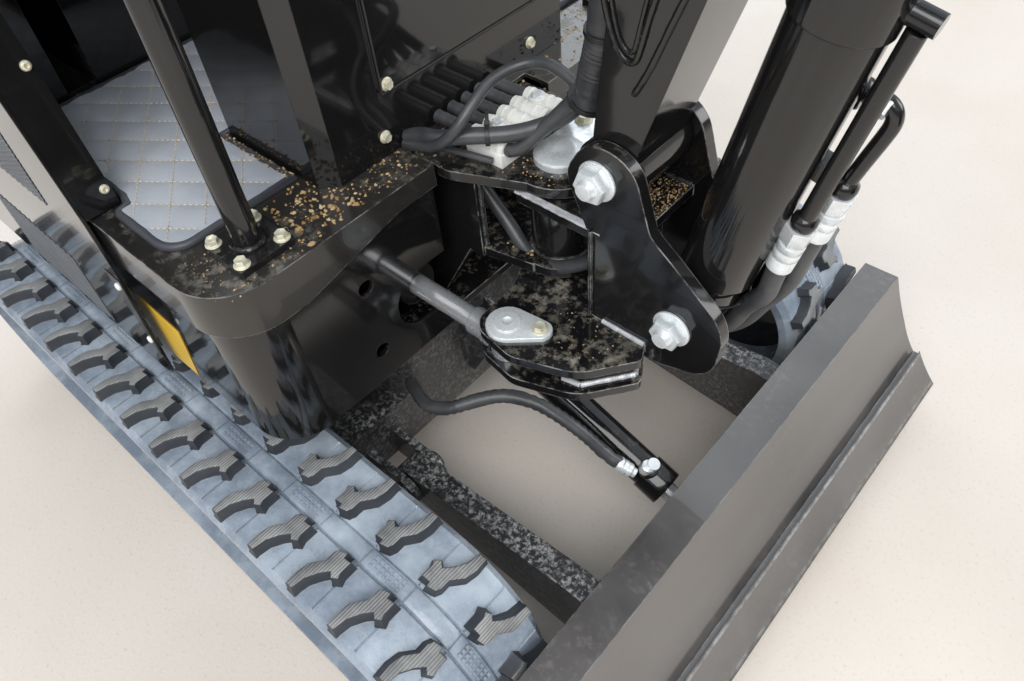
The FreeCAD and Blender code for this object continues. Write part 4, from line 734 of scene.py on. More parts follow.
def build_mat():
    """The quilted top as a fine grid within the outline, and the bound edge round it."""
    outline = mat_outline()
    mat = Heap("mat", "mat_edge")
    body = inset(outline, MAT_EDGE * 0.3)
    columns, rows = (int(span / MAT_CELL) + 2 for span in MAT_SPAN)
    grid = {}
    for i in range(columns):
        for j in range(rows):
            x, y = MAT_CORNER[0] + i * MAT_CELL, MAT_CORNER[1] + j * MAT_CELL
            if inside((x, y), body):
                high = MAT_TOP - 2.6 + 2.6 * quilt_height(x, y) + 0.5 * cloud(Vector((x * 0.02, y * 0.02, 3)))
                grid[i, j] = mat.mesh.verts.new((x, y, high))
    for i, j in grid:
        corners = [grid.get((i + a, j + b)) for a, b in ((0, 0), (1, 0), (1, 1), (0, 1))]
        if all(corners):
            mat.face(corners)
    # the bound edge: a rounded band round the whole mat, and the sheet's underside
    section = [(0.2, 625.3), (0, 627.5), (1.2, 630.2), (3.4, 631.6), (5.8, 631.6), (8.0, 630.6),
               (MAT_EDGE, 629.2)]
    mat.use("mat_edge")
    levels = [(inset(outline, depth), height) for depth, height in section]
    mat.loft(stacked(Matrix(), levels), caps=(True, False))
    mat.piece("quilted_mat", "upper", ["floor_mats"], sharp=60)


def build_stitches():
    """The seams' stitches, a tuft at each crossing, and the line of stitches inside the bound edge."""
    thread = Heap("thread")
    outline = mat_outline()
    body = inset(outline, MAT_EDGE + 1.5)

    def stitch(start, end, rise, thick=1.15):
        start, end = Vector((*start, rise)), Vector((*end, rise))
        middle = start.lerp(end, 0.5) + UP * 0.9
        side = (end - start).cross(UP).normalized() * thick
        low = [start, start.lerp(end, 0.5) - side, end, start.lerp(end, 0.5) + side]
        ends = [thread.mesh.verts.new(point) for point in low]
        peak = thread.mesh.verts.new(middle + UP * 0.25)
        for a, b in ((0, 1), (1, 2), (2, 3), (3, 0)):
            thread.face((ends[a], ends[b], peak))

    base = MAT_TOP - 1.6
    reach = math.hypot(QUILT_AHEAD, QUILT_ACROSS)
    for k in range(-6, 8):
        for m in range(-6, 32):
            if (k + m) % 2:
                continue
            x, y = QUILT_START[0] + QUILT_AHEAD * k, QUILT_START[1] + QUILT_ACROSS * m
            for turn in (-1, 1):
                step = Vector((QUILT_AHEAD, QUILT_ACROSS * turn)) / SEAM_STITCHES
                for part in range(SEAM_STITCHES):
                    start = (x + step.x * (part + 0.12), y + step.y * (part + 0.12))
                    end = (x + step.x * (part + 0.84), y + step.y * (part + 0.84))
                    if inside(start, body) and inside(end, body):
                        stitch(start, end, base + 0.5)
            if inside((x, y), body):
                for arm in range(4):
                    angle = math.radians(45 + 90 * arm)
                    away = (x + 4.2 * math.cos(angle), y + 4.2 * math.sin(angle))
                    stitch((x, y), away, base + 0.9, 0.8)
    edge = inset(outline, MAT_EDGE - 0.5)
    for (ax, ay), (bx, by) in sides_of(edge):
        length = math.hypot(bx - ax, by - ay)
        for part in range(int(length / (reach / SEAM_STITCHES))):
            first, last = (k * reach / SEAM_STITCHES / length for k in (part, part + 0.7))
            stitch((ax + (bx - ax) * first, ay + (by - ay) * first),
                   (ax + (bx - ax) * last, ay + (by - ay) * last), EDGE_SEAM)
    thread.piece("mat_stitching", "upper")


# Hoses

HOSE_ROWS = (-40, -18, 4, 26, 48)
HOSE_HEIGHT, CLAMP_SEAM, CLAMP_TOP = 636, 634, 649.6
CLAMP_BOLTS = (-29, 37)


def build_nose_run():
    """The hoses over the nose in their ribbed clamp, with its bolts."""
    hoses = Heap("hose_rubber")
    for y in HOSE_ROWS:
        line = [Vector((x, y, HOSE_HEIGHT)) for x in range(240, 354, 4)]
        hoses.tube(line, 7.5, 14, corrugated(6, 0.35))
    hoses.piece("nose_hose_run", "upper", ["nose_hoses"])
    clamp = Heap("clamp_plastic")
    clamp.box((295, -53, 618.2), (347, 61, CLAMP_SEAM), 1.5)
    for y in HOSE_ROWS:
        arch = [(-10.6, 0)] + [(-10.6 * math.cos(math.pi * k / 10), 13.2 * math.sin(math.pi * k / 10))
                               for k in range(1, 10)] + [(10.6, 0)]
        ring = [Vector((0, y + a, CLAMP_SEAM + b)) for a, b in arch]
        clamp.loft([[Vector((x, p.y, p.z)) for p in ring] for x in (296.5, 345.5)])
        for x in (303, 313, 329, 339):
            rib = [Vector((0, y + a * 1.06, CLAMP_SEAM + b * 1.09)) for a, b in arch]
            clamp.loft([[Vector((x + dx, p.y, p.z)) for p in rib] for dx in (-1.4, 1.4)])
    for y in CLAMP_BOLTS:
        clamp.lathe([(9.5, CLAMP_SEAM), (9.5, CLAMP_TOP), (8.4, CLAMP_TOP + 1.2)],
                    Matrix.Translation((321, y, 0)), 20)
    clamp.piece("ribbed_hose_clamp", "upper", ["hose_clamp"])
    bolts = Heap("zinc")
    for y in CLAMP_BOLTS:
        bolts.bolt(facing((321, y, CLAMP_TOP + 1), UP, 12), 5.6, 4.6)
    bolts.piece("hose_clamp_bolts", "upper")


def wrapped(pitch, depth):
    """A spiral wrap: a flat band wound with a gap between its turns."""
    return lambda distance, angle: depth * (0.5 + 0.5 * math.tanh(4 * (math.cos(
        2 * math.pi * distance / pitch - angle) + 0.35)))


def hose(name, points, radius, bodies, sides, swell=None):
    """A hose on one body, or between two, where it rides on neither."""
    line = route(points)
    made = Heap("hose_rubber")
    made.tube(line, radius, sides, swell)
    if isinstance(bodies, str):
        thing = made.piece(name, bodies)
    else:
        thing = made.piece(name, None)
        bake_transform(thing)


def zip_tie(heap, centre, axis, radius):
    """A cable tie round a hose of that radius: its band, its lock and its cut tail."""
    place, tail = facing(centre, axis, 35), 14
    heap.lathe(oblong(radius - 0.5, -2.4, radius + 1.3, 2.4), place, 22)
    heap.prism(oblong(radius, -3.0, radius + 6, 3.0), -3.0, 3.0, place, chamfer=0.8)
    root = radius + 5.5
    heap.prism([(root, -0.8), (root + tail, -2.4), (root + tail, 0.2), (root, 0.8)], -2.0, 2.0, place)


def build_boom_hoses():
    """The nose's hoses gathered behind the foot pin and sleeved up the boom's back, and three beside them."""
    for number, y in enumerate(HOSE_ROWS):
        lift = 1.5 * number
        points = [(350, y, 636), (361, y * 0.9, 639 + lift), (373, 4 + y * 0.56, 657 + lift),
                  (388, 5 + y * 0.32, 677 + lift), (404, 4 + y * 0.22, 694), (420, 2 + y * 0.20, 712)]
        hose(f"foot_hose_{number + 1}", points, 7.2, ("upper", "bracket"), 16)
    points = [(423, 2, 702), (427, 1, 722), (432, 0, 742), (437, 0, 761), (439, 0, 772)]
    hose("sleeve_foot", points, 17.4, ("bracket", "boom"), sides=22,
         swell=corrugated(5.0, 0.5))
    sleeve = route([(437, 0, 761), (449, 0, 849), (463, 0, 1019), (493, 0, 1269)])
    made = Heap("hose_rubber")

    def lumps(distance, angle):
        folds = 0.25 * math.cos(2 * math.pi * distance / 5.0)
        return 0.5 * cloud(Vector((distance * 0.03, angle, 1))) + folds

    made.tube(sleeve, 17.0, 22, lumps)
    made.piece("boom_hose_sleeve", "boom", ["boom_hoses"])
    ties = Heap("knob_plastic")
    for share in (0.06, 0.26, 0.5, 0.74, 0.94):
        k = int(share * (len(sleeve) - 1))
        zip_tie(ties, sleeve[k], sleeve[min(k + 1, len(sleeve) - 1)] - sleeve[k], 18)
    ties.piece("sleeve_ties", "boom")
    # two hoses beside the bundle, to the swing cylinder and to the blade's valve
    near = [(247, -92, 640), (262, -88, 648), (290, -86, 652), (312, -68, 655), (345, -44, 655),
            (368, -15, 657), (392, 2, 672), (409, 5, 694), (417, 8, 716)]
    hose("near_hose", near, 9.0, ("upper", "bracket"), sides=18)
    loop = [(400, 10, 704), (372, 14, 716), (337, 8, 712), (318, -28, 704), (320, -62, 690), (314, -84, 668),
            (296, -94, 650), (270, -96, 640), (248, -98, 636)]
    hose("loop_hose", loop, 6.2, ("bracket", "upper"), sides=14)
    thin = [(244, -84, 633), (268, -79, 630), (292, -70, 629), (316, -64, 629), (338, -58, 628)]
    hose("thin_hose", thin, 4.0, "upper", 16)
    for name, centre, axis, radius, body in (("near_hose_tie", (331, -54, 655), (1, 0.9, 0), 9.6, "upper"),
                                             ("gather_tie", (419, 4, 700), (0.35, 0, 1), 21, "bracket")):
        tie = Heap("knob_plastic")
        zip_tie(tie, centre, axis, radius)
        tie.piece(name, body)


def build_inner_hoses():
    """The hose seen inside the nose's window, over the joint of the boom's swing."""
    inner = [(282, -30, 560), (300, -30, 540), (326, -30, 516), (352, -36, 496), (384, -40, 488),
             (420, -34, 500), (446, -24, 520)]
    hose("window_hose", inner, 8.5, ("upper", "bracket"), sides=18)


def blade_pin_line(share):
    """A point on the blade cylinder's axis, from its base pin at 0 to its rod pin at 1."""
    start, end = Vector((235, 0, 238)), Vector((625, 0, 92.4))
    return start.lerp(end, share)


def build_blade_hose():
    """The wrapped hose from the frame's bracket to the banjo on the blade cylinder's barrel."""
    axis = (blade_pin_line(1) - blade_pin_line(0)).normalized()
    up = Vector((-axis.z, 0, axis.x)).normalized()
    port = blade_pin_line(0) + axis * 312 + up * 25
    banjo = port + Vector((0, -14, 10))
    root = banjo + Vector((-14, -20, 4))
    points = [(206, -146, 226), (232, -156, 230), (266, -166, 238), (300, -154, 251), (324, -126, 262),
              (352, -96, 268), (392, -74, 258), (430, -62, 238), (462, -52, 214),
              banjo + Vector((-44, -30, 20)), root]
    hose("blade_hose", points, 8.6, ("undercarriage", "blade_barrel"), sides=20,
         swell=wrapped(11.0, 1.6))
    fittings = Heap("zinc")
    along = Vector((30, 10, -16)).normalized()
    place = facing(root - along * 22, along)
    fittings.lathe([(10.4, 0), (10.8, 1), (10.8, 7), (9.4, 8), (10.6, 9), (10.6, 15), (9.2, 16), (10.2, 17),
                    (10.2, 22), (7, 25), (7, 30)], place, 20)
    fittings.lathe([(8, -9), (9.5, -8), (9.5, 8), (8, 9)], facing(banjo, up), 20)
    fittings.nut(facing(port + up * 1 + Vector((0, -8, 0)), up), 9.5, 8, 2)
    fittings.lathe([(9, -2), (9, 22)], facing(port + Vector((0, -8, 0)), up), 18)
    fittings.piece("blade_hose_fitting", "blade_barrel")
    port_boss = Heap("black_paint")
    port_boss.lathe([(14, -8), (14, 2), (12.5, 3.5), (9, 3.8)], facing(port + Vector((0, -8, 0)), up), 22)
    for y in (-18, 18):
        port_boss.lathe([(4, 0), (4, 3)], facing(blade_pin_line(0.78) + Vector((0, y, 0)), (0, y, 0)), 12)
    port_boss.piece("blade_cylinder_port", "blade_barrel")


# Boom cylinder: its steel lines and hoses

RAM_FOOT, RAM_AHEAD, RAM_OUT = Vector((575, 0, 528)), Vector((0.208, 0, 0.978)), Vector((0.978, 0, -0.208))


def beside_ram(along, out, across):
    """A point along the boom cylinder, out in front of its axis and to the left."""
    return RAM_FOOT + RAM_AHEAD * along + RAM_OUT * out + Vector((0, across, 0))


def hose_end(heap, root, along):
    """A swivel nut and the crimped ferrule behind it, from the steel line's end down along the hose."""
    place, radius = facing(root, along), 13.0
    heap.prism(hexagon(radius * 1.12), 0, 18, place, chamfer=1.5)
    heap.lathe([(radius * share, height) for share, height in (
        (0.8, 18), (0.8, 20), (1, 20.6), (1, 28), (0.95, 29), (1, 30), (1, 38), (0.95, 39), (1, 40), (1, 54),
        (0.85, 56))], place, 22)


def build_ram_lines():
    """The boom cylinder's far steel line with its bosses, and the hoses from both lines to the bracket."""
    lines = Heap("black_paint")
    second = [beside_ram(*row) for row in ((272, 36, 22), (276, 50, 24), (272, 62, 25), (262, 67, 25),
                                           (246, 66, 24), (226, 64, 22), (204, 62, 21), (188, 61, 20))]
    lines.tube(route(second), 7.0, 16)
    lines.lathe([(13, -4), (13, 3), (11.5, 5), (7, 5.4)], facing(beside_ram(272, 34, 22), RAM_OUT), 20)
    block = facing(beside_ram(204, 36, 10), RAM_AHEAD)
    lines.prism(oblong(-8, -12, 14, 12), -9, 9, block, chamfer=1.2)
    for along, out, across in ((150, 50, 2), (188, 61, 20)):
        lines.lathe([(8, -3), (11.2, -1), (12, 4), (11.2, 9), (8, 12)],
                    facing(beside_ram(along, out, across), RAM_AHEAD), 20)
    for along in (352, 30):
        turns = [2 * math.pi * k / 40 for k in range(41)]
        bead = [beside_ram(along, 38.6 * math.cos(turn), 38.6 * math.sin(turn)) for turn in turns]
        lines.tube(bead, 1.5, 6, caps=(False, False))
    lines.piece("boom_cylinder_fittings", "boom_barrel")
    zinc = Heap("zinc")
    hose_end(zinc, beside_ram(148, 50, 2), -RAM_AHEAD)
    hose_end(zinc, beside_ram(186, 61, 20), -RAM_AHEAD)
    zinc.bolt(facing(beside_ram(272, 52, 20), RAM_OUT), 8.5, 6)
    zinc.bolt(facing(beside_ram(204, 50, 10), RAM_OUT), 5.5, 4, washer=False)
    zinc.piece("boom_cylinder_hose_ends", "boom_barrel")
    first = [beside_ram(100, 50, 2), beside_ram(76, 51, 2), beside_ram(48, 54, 3), (620, 6, 540),
             (606, 8, 498), (582, 10, 468), (552, 12, 454), (522, 12, 456), (500, 12, 462), (488, 12, 462)]
    second = [beside_ram(138, 61, 20), beside_ram(100, 62, 22), beside_ram(54, 63, 25), (628, 27, 530),
              (612, 28, 490), (586, 29, 460), (556, 30, 446), (524, 30, 448), (500, 30, 454), (488, 30, 454)]
    for name, points in (("boom_cylinder_hose_near", first), ("boom_cylinder_hose_far", second)):
        hose(name, points, 10.2, ("bracket", "boom_barrel"), sides=18)
    glands = Heap("zinc")
    for y, z in ((12, 462), (30, 454)):
        glands.lathe([(14, 0), (14, 3), (11.5, 4), (11.5, 14), (9.5, 16)], facing((486, y, z), (1, 0, 0)), 20)
    glands.piece("bracket_glands", "bracket")


# Pins, nuts, bolts and keepers

def capsule(first, first_radius, last, last_radius):
    """The outline round two circles, anticlockwise."""
    steps = 12
    first, last = Vector(first), Vector(last)
    line = last - first
    heading = math.atan2(line.y, line.x)
    lean = math.acos((first_radius - last_radius) / line.length)
    points = []
    for centre, radius, start, sweep in ((last, last_radius, heading - lean, 2 * lean),
                                         (first, first_radius, heading + lean, 2 * (math.pi - lean))):
        for k in range(steps + 1):
            angle = start + sweep * k / steps
            points.append((centre.x + radius * math.cos(angle), centre.y + radius * math.sin(angle)))
    return points


KINGPIN_X, FOOT_PIN, LIFT_PIN, EAR_PIN = 383, (479, 669), (575, 528), (410, -131)
KEEPER_BOLT = (445, -116)
PIN_HALF = 60


def build_bracket_hardware():
    """The boom foot's and boom cylinder's pins with their nuts, the swing cylinder's pin, and the keepers."""
    zinc = Heap("zinc", "yellow_zinc")
    for x, z in (FOOT_PIN, LIFT_PIN):
        zinc.lathe([(17.4, -PIN_HALF), (17.4, PIN_HALF)], facing((x, 0, z), (0, 1, 0)), 26)
        for side in (-1, 1):
            zinc.nut(facing((x, PIN_HALF * side, z), (0, side, 0), 9), 18.5, 13, 7)
    ear = Matrix.Translation((*EAR_PIN, 0))
    for low, high in ((425, 442), (468, 481)):
        zinc.lathe([(13.9, low), (13.9, high)], ear, 24)
    zinc.prism(capsule(EAR_PIN, 25, KEEPER_BOLT, 14), 480, 486, chamfer=1.4)
    zinc.lathe([(15, 485), (16, 486.2), (15, 488.4), (6, 489), (4, 487.6), (0, 487.4)], ear, 24)
    zinc.use("yellow_zinc")
    zinc.bolt(facing((*KEEPER_BOLT, 486), UP, 20), 7.5, 5.5)
    zinc.piece("bracket_hardware", "bracket", ["bracket_pins"])
    cap = Heap("zinc", "yellow_zinc")
    cap.lathe([(27, 624), (28, 625.6), (26, 627), (10, 627.6), (7, 626), (0, 625.4)],
              Matrix.Translation((KINGPIN_X, 0, 0)), 30)
    cap.use("yellow_zinc")
    cap.bolt(facing((368, 60, 625), UP, 8), 8, 6)
    cap.piece("kingpin_keeper_cap", "upper")


def build_post_feet():
    """Four bolts and a weld at the foot of each canopy post."""
    bolts = Heap("yellow_zinc")
    welds = Heap("black_paint")
    for x, across, z in ((234, 299, 633), (-480, 330, 913)):
        for side in (-1, 1):
            y = across * side
            for dx in (-24, 24):
                for dy in (-24, 24):
                    bolts.bolt(facing((x + dx, y + dy, z), UP, 17 * dx + 5 * dy), 6.6, 6.5)
            welds.tube(hoop(x, y, z + 1.5, 15.5, 48), 3.2, 8, ripples(0.5))
    bolts.piece("post_bolts", "upper")
    welds.piece("post_welds", "upper")


def build_console_trim():
    """The bolts of the console's front cover, and the seal round it."""
    bolts = Heap("yellow_zinc")
    for x, y, z in ((239, -100, 706), (236.2, -114, 649), (236.2, 122, 648), (239, 166, 706),
                    (239, -100, 1036), (239, 166, 1036)):
        bolts.bolt(facing((x, y, z), (1, 0, 0), y), 5.6, 4.6)
    bolts.piece("console_bolts", "upper")
    seal = Heap("knob_plastic")
    corners = oblong(-108, 698, 174, 1046)
    seal.tube([Vector((240, y, z)) for y, z in (corners[0], *corners[:0:-1], corners[0])], 1.2, 8)
    seal.piece("console_cover_seal", "upper")


def build_levers():
    """Four levers, each with a gaiter, a bright shaft and a knob; the outer two are shorter."""
    levers = Heap("knob_plastic", "zinc")
    for y in (-130, -32, 32, 130):
        tall = 190 if abs(y) > 100 else 230
        place = Matrix.Translation((130, y, 1130))
        gaiter = [(24, 0), (24, 3)]
        for k in range(5):
            gaiter += [(22 - 2.6 * k, 5 + 5 * k), (17.5 - 2.2 * k, 7.5 + 5 * k)]
        levers.use("knob_plastic")
        levers.lathe(gaiter + [(7, 31)], place, 28)
        levers.lathe([(8, tall - 2), (10, tall), (13, tall + 8), (16.6, tall + 26), (16.2, tall + 38),
                      (12, tall + 45), (4, tall + 46)], place, 28)
        levers.use("zinc")
        levers.lathe([(6.5, 28), (6.5, tall)], place, 18)
    levers.piece("lever_set", "upper", ["control_levers"])


# Sheet metal trim: screws, vents, sticker, hood

COVER_FACE = 388  # outer face of a side cover, beside the machine's middle

def build_cover_trim(side):
    """A side cover's screws and the wire mesh of its two vents."""
    label = "left" if side > 0 else "right"
    screws = Heap("yellow_zinc")
    for x, z in ((60.2, 648), (37.4, 781)):
        screws.screw(facing((x, 351 * side, z), (0.985, 0, 0.17)), 5.2)
    for x in (-560, -330, -90):
        screws.screw(facing((x, COVER_FACE * side, 880), (0, side, 0)), 5.2)
    screws.piece(f"cover_screws_{label}", "upper")
    mesh = Heap("grille")
    cell = [(3.3, 0), (3.3, 0.8), (2.3, 0.9), (2.3, 0.15)]
    for x0, x1, z0, z1 in ((-330, -45, 600, 707), (-330, -106, 366, 490)):
        for k in range(int((x1 - x0) / 7) + 1):
            x = x0 + 7 * k
            for m in range(int((z1 - z0) / 6)):
                z = z0 + 6 * m + (3 if k % 2 else 0)
                if z + 3 > z1:
                    continue
                place = facing((x, (COVER_FACE + 0.2) * side, z), (0, side, 0))
                mesh.loft(stacked(place, [(hexagon(radius), out) for radius, out in cell]))
    mesh.piece(f"cover_vents_{label}", "upper")


def build_sticker():
    """The plain warning plate on the right skirt: black behind, yellow ahead, two white screws."""
    plate = Heap("black_vinyl", "yellow_vinyl", "clamp_plastic")
    for look, face, outline in (("black_vinyl", -388.1, [(38, 397), (46, 402), (63, 543), (33, 546)]),
                                ("yellow_vinyl", -371.2, [(0, 376), (87, 376), (110, 475), (0, 486)])):
        plate.use(look)
        plate.loft([[Vector((x, face - out, z)) for x, z in outline] for out in (0.0, 0.7)])
    plate.use("clamp_plastic")
    for x, z in ((50, 528), (42, 430)):
        plate.screw(facing((x, -388.8, z), (0, -1, 0)), 5)
    plate.piece("blank_sticker", "upper")


def build_hood_trim():
    """Eighteen louvres in two columns on the hood's rear face, and the disc of its latch."""
    hood = Heap("black_paint", "zinc")
    for k in range(9):
        for y in (-90, 90):
            louvre = [(5, -70), (5, 70), (-5, 70), (-5, -70)]
            hood.prism(louvre, 0, 5, facing((-735.5, y, 668 + 17 * k), (-1, 0, 0)), chamfer=3.5)
    hood.use("zinc")
    hood.lathe([(14, 0), (14, 3), (12, 4), (5, 4), (5, 2), (0, 2)], facing((-735, 0, 640), (-1, 0, 0)), 26)
    hood.piece("hood_louvres", "hood")


# Weld beads and worn places

def build_welds():
    """Beads round the bracket's ear and window, along the nose, the blade's arms and the boom's foot."""
    silver = Heap("bare_steel")
    web = [(535, -58), (545, -75), (507, -124), (485, -128)]
    for z in (443.5, 466.5):
        for number, (start, end) in enumerate(zip(web, web[1:])):
            silver.bead((*start, z), (*end, z), 3.4, seed=number + z)
    silver.piece("swing_ear_welds", "bracket")
    silver = Heap("bare_steel")
    silver.bead((489, -61.5, 481.5), (545, -61.5, 481.5), 3.2, seed=4)
    silver.bead((471, -60, 484), (471, -60, 602), 2.0, seed=6)
    for y in (-53, -56, -58.4):
        silver.bead((368, y, 602.2), (482, y, 602.2), 1.9, seed=y)
    silver.piece("bracket_welds_bright", "bracket")
    dark = Heap("worn_paint")
    for side in (-1, 1):
        dark.bead((487.5, 47 * side, 484), (487.5, 47 * side, 600), 3, seed=side + 3)
        dark.bead((472, 61.5 * side, 604), (472, 61.5 * side, 482), 3, seed=side + 9)
        dark.bead((490, 45 * side, 616), (519, 45 * side, 616), 2.8, seed=side + 12)
    dark.piece("bracket_welds", "bracket")
    nose = Heap("worn_paint")
    for side in (-1, 1):
        nose.bead((262, 71.5 * side, 605), (316, 71.5 * side, 605), 2.6, seed=side)
        nose.bead((319.5, 64 * side, 502), (319.5, 64 * side, 604), 2.6, seed=side + 5)
    nose.tube(hoop(KINGPIN_X, 0, 501.5, 37, 60), 2.6, 8, ripples(0.4))
    nose.piece("nose_welds", "upper")
    arms = Heap("chassis")
    for side in (-1, 1):
        for y in (199, 237):
            arms.bead((596, y * side, 196), (655, y * side, 196), 3.2, seed=y * side)
            arms.bead((652, y * side, 188), (676, y * side, 112), 3.2, seed=y * side + 1)
    arms.piece("blade_arm_welds", "blade")
    boom = Heap("black_paint")
    recess = [(466, 860), (473, 834), (480, 812), (488, 796), (497, 789), (505, 791), (509, 803), (513, 820),
              (520, 848), (531, 880)]
    within = [(x * 0.72 + 139, z * 0.86 + 119) for x, z in recess]
    brace = [(505, 762), (516, 782), (528, 812), (541, 845), (556, 880)]
    for side in (-1, 1):
        y = 45.4 * side
        for course, wide in ((recess, 3.0), (within, 2.0), (brace, 3.0)):
            boom.tube(route([(x, y, z) for x, z in course]), wide, 8, ripples(0.4))
        boom.bead((480, y, 1010), (560, y, 1265), 2.0, seed=3)
    boom.piece("boom_welds", "boom")


def build_collar():
    """The bright collar behind the eye of the swing cylinder's rod."""
    collar = Heap("chrome_rod")
    collar.lathe([(13.4, 0), (16.5, 2), (17, 5), (17, 27), (19, 32), (19, 34)],
                 facing((354, -131.4, 455), (1, 0.008, 0)), 28)
    collar.piece("swing_rod_collar", "swing_rod")


# Where crumbs lie: how many, from x to x, from y to y, at what height, and the least and greatest size
FLOOR_CRUMBS = [
    (300, 192, 276, -275, -104, 625, 0.6, 2.6), (120, 196, 284, -366, -270, 625, 0.5, 1.8),
    (46, 205, 280, -262, -190, 625, 2.2, 4.6), (200, 196, 280, 104, 366, 625, 0.6, 2.8),
    (130, 240, 300, -88, 92, 618, 0.6, 2.8), (90, 300, 352, -58, 62, 618, 0.6, 2.6),
    (120, 346, 410, -46, 46, 618, 0.5, 1.9), (60, 330, 372, -48, 48, 500, 0.8, 3.0),
    (90, 60, 186, -212, -203, 631, 0.6, 2.2),
]
BRACKET_CRUMBS = [
    (420, 488, 520, -44, 44, 615, 0.4, 1.6), (60, 474, 486, -44, 44, 615, 0.6, 2.0),
    (40, 440, 520, -120, -66, 480, 0.5, 1.8),
]


def build_crumbs():
    """Crumbs thrown over the areas of the two tables, all from one row of random draws."""
    draw = random.Random(11)
    for name, body, areas in (("floor_crumbs", "upper", FLOOR_CRUMBS),
                              ("bracket_crumbs", "bracket", BRACKET_CRUMBS)):
        heap = Heap("crumbs")
        for count, x0, x1, y0, y1, height, least, greatest in areas:
            for _ in range(count):
                spot = (x0 + (x1 - x0) * draw.random(), y0 + (y1 - y0) * draw.random(), height)
                place = Matrix.Translation(spot) @ Matrix.Rotation(draw.random() * 6.28, 4, "Z")
                heap.crumb(place, draw.uniform(least, greatest), draw)
        heap.piece(name, body)


# Seat

PAD_CELLS, PAD_POWER = 22, 5.0
PAD_CHANNELS = (-72, 72)


def pad(heap, place, half, crown):
    """A stuffed pad: a rounded block that swells in its middle and pulls in along its sewn channels."""
    corners = {}

    def spot(a, b, c):
        key = (round(a, 4), round(b, 4), round(c, 4))
        if key not in corners:
            size = (abs(a) ** PAD_POWER + abs(b) ** PAD_POWER + abs(c) ** PAD_POWER) ** (1 / PAD_POWER)
            x, y, z = a / size, b / size, c / size
            swell = (1 - x * x) * (1 - y * y)
            pull = sum(math.exp(-((y * half[1] - channel) / 7.0) ** 2) for channel in PAD_CHANNELS)
            folds = cloud(Vector((x * 2.2, y * 3.1, z * 2 + half[0]))) * 1.6
            puff = crown * swell - 5.0 * pull * (1 - x * x) + folds
            rise = z * half[2] + (1 if z > 0 else -1) * abs(z) * puff
            corners[key] = heap.mesh.verts.new(place @ Vector((x * half[0], y * half[1], rise)))
        return corners[key]

    steps = [-1 + 2 * k / PAD_CELLS for k in range(PAD_CELLS + 1)]
    for axis in range(3):
        for sign in (-1, 1):
            for u0, u1 in zip(steps, steps[1:]):
                for v0, v1 in zip(steps, steps[1:]):
                    ring = []
                    for u, v in ((u0, v0), (u1, v0), (u1, v1), (u0, v1)):
                        point = [u, v]
                        point.insert(axis, sign)
                        ring.append(spot(*point))
                    heap.face(ring)


def build_seat():
    """The cushion and the back, each with piping round its edge, on a black carrier."""
    flat = Matrix.Translation((-272, 0, 915))
    lean = Vector((40, 0, 6.5)).normalized()
    turned = Matrix((Vector((-lean.z, 0, lean.x)), Vector((0, -1, 0)), lean)).transposed().to_4x4()
    turned.translation = (-440, 0, 1124)
    for name, place, half, crown, seam, count in (("seat_cushion", flat, (112, 205, 40), 7, -6, 64),
                                                  ("seat_back", turned, (172, 205, 30), 6, 0, 72)):
        made = Heap("seat_vinyl")
        pad(made, place, half, crown)
        piping = [place @ Vector((half[0] * c, half[1] * s, seam)) for c, s in rounded_ring(0.5, count)]
        made.tube(piping + piping[:1], 3.2, 8, caps=(False, False))
        made.piece(name, "upper", ["seat"], sharp=70)
    carrier = Heap("knob_plastic")
    carrier.box((-392, -150, 870.2), (-170, 150, 876), 2)
    carrier.prism([(-394, 871), (-386, 871), (-462, 1090), (-472, 1090)][::-1], -60, 60,
                  Matrix(((1, 0, 0, 0), (0, 0, -1, 0), (0, 1, 0, 0), (0, 0, 0, 1))))
    carrier.piece("seat_carrier", "upper")


def rounded_ring(power, count):
    """Points round a square with rounded corners, from -1 to 1 both ways."""
    ring = []
    for k in range(count):
        angle = 2 * math.pi * k / count
        c, s = math.cos(angle), math.sin(angle)
        ring.append((math.copysign(abs(c) ** power, c), math.copysign(abs(s) ** power, s)))
    return ring


# Steel lines over the boom, from the sleeve to the arm

def build_boom_lines():
    """Three steel lines from the sleeve over the boom's back, and the three clamps on them."""
    lines = Heap("black_paint", "zinc")
    for y in (-13, 0, 13):
        points = [(491, y * 0.7, 1262), (497, y, 1290), (512, y, 1322), (538, y, 1362), (566, y, 1388),
                  (600, y, 1404), (760, y, 1497), (900, y, 1578), (1010, y, 1641)]
        lines.tube(route(points), 5.2, 12)
    lines.use("zinc")
    for k in (0.3, 0.62, 0.9):
        x, z = 600 + 410 * k, 1404 + 237 * k
        place = facing((x, 0, z), (0.866, 0, 0.5))
        lines.prism(oblong(-6, -22, 6, 22), -8, 8, place, chamfer=1)
    lines.piece("boom_steel_lines", "boom")


build_track("track_left", 1)
build_track("track_right", -1)
build_mat()
build_stitches()
build_nose_run()
build_boom_hoses()
build_inner_hoses()
build_blade_hose()
build_ram_lines()
build_bracket_hardware()
build_post_feet()
build_console_trim()
build_levers()
for side in (-1, 1):
    build_cover_trim(side)
build_sticker()
build_hood_trim()
build_welds()
build_collar()
build_crumbs()
build_seat()
build_boom_lines()


# Ground, light and camera

def build_ground():
    """A pale concrete floor."""
    look = Look("pale_concrete", (0.62, 0.56, 0.50), 0.85)
    grain = look.noise(160, 6, 0.7)
    broad = look.steps(look.noise(1.6, 5), 0.3, 0.7)
    base = look.mix(broad, (0.66, 0.585, 0.515), (0.74, 0.68, 0.62))
    look.feed("Base Color", look.mix(look.steps(grain, 0.56, 0.80), base, (0.52, 0.455, 0.39)))
    look.bump(grain, 0.35, 0.002)
    bpy.ops.mesh.primitive_plane_add(size=24, location=(0, 0, 0))
    ground = bpy.context.object
    ground.name = "ground"
    ground.data.materials.append(look.material)


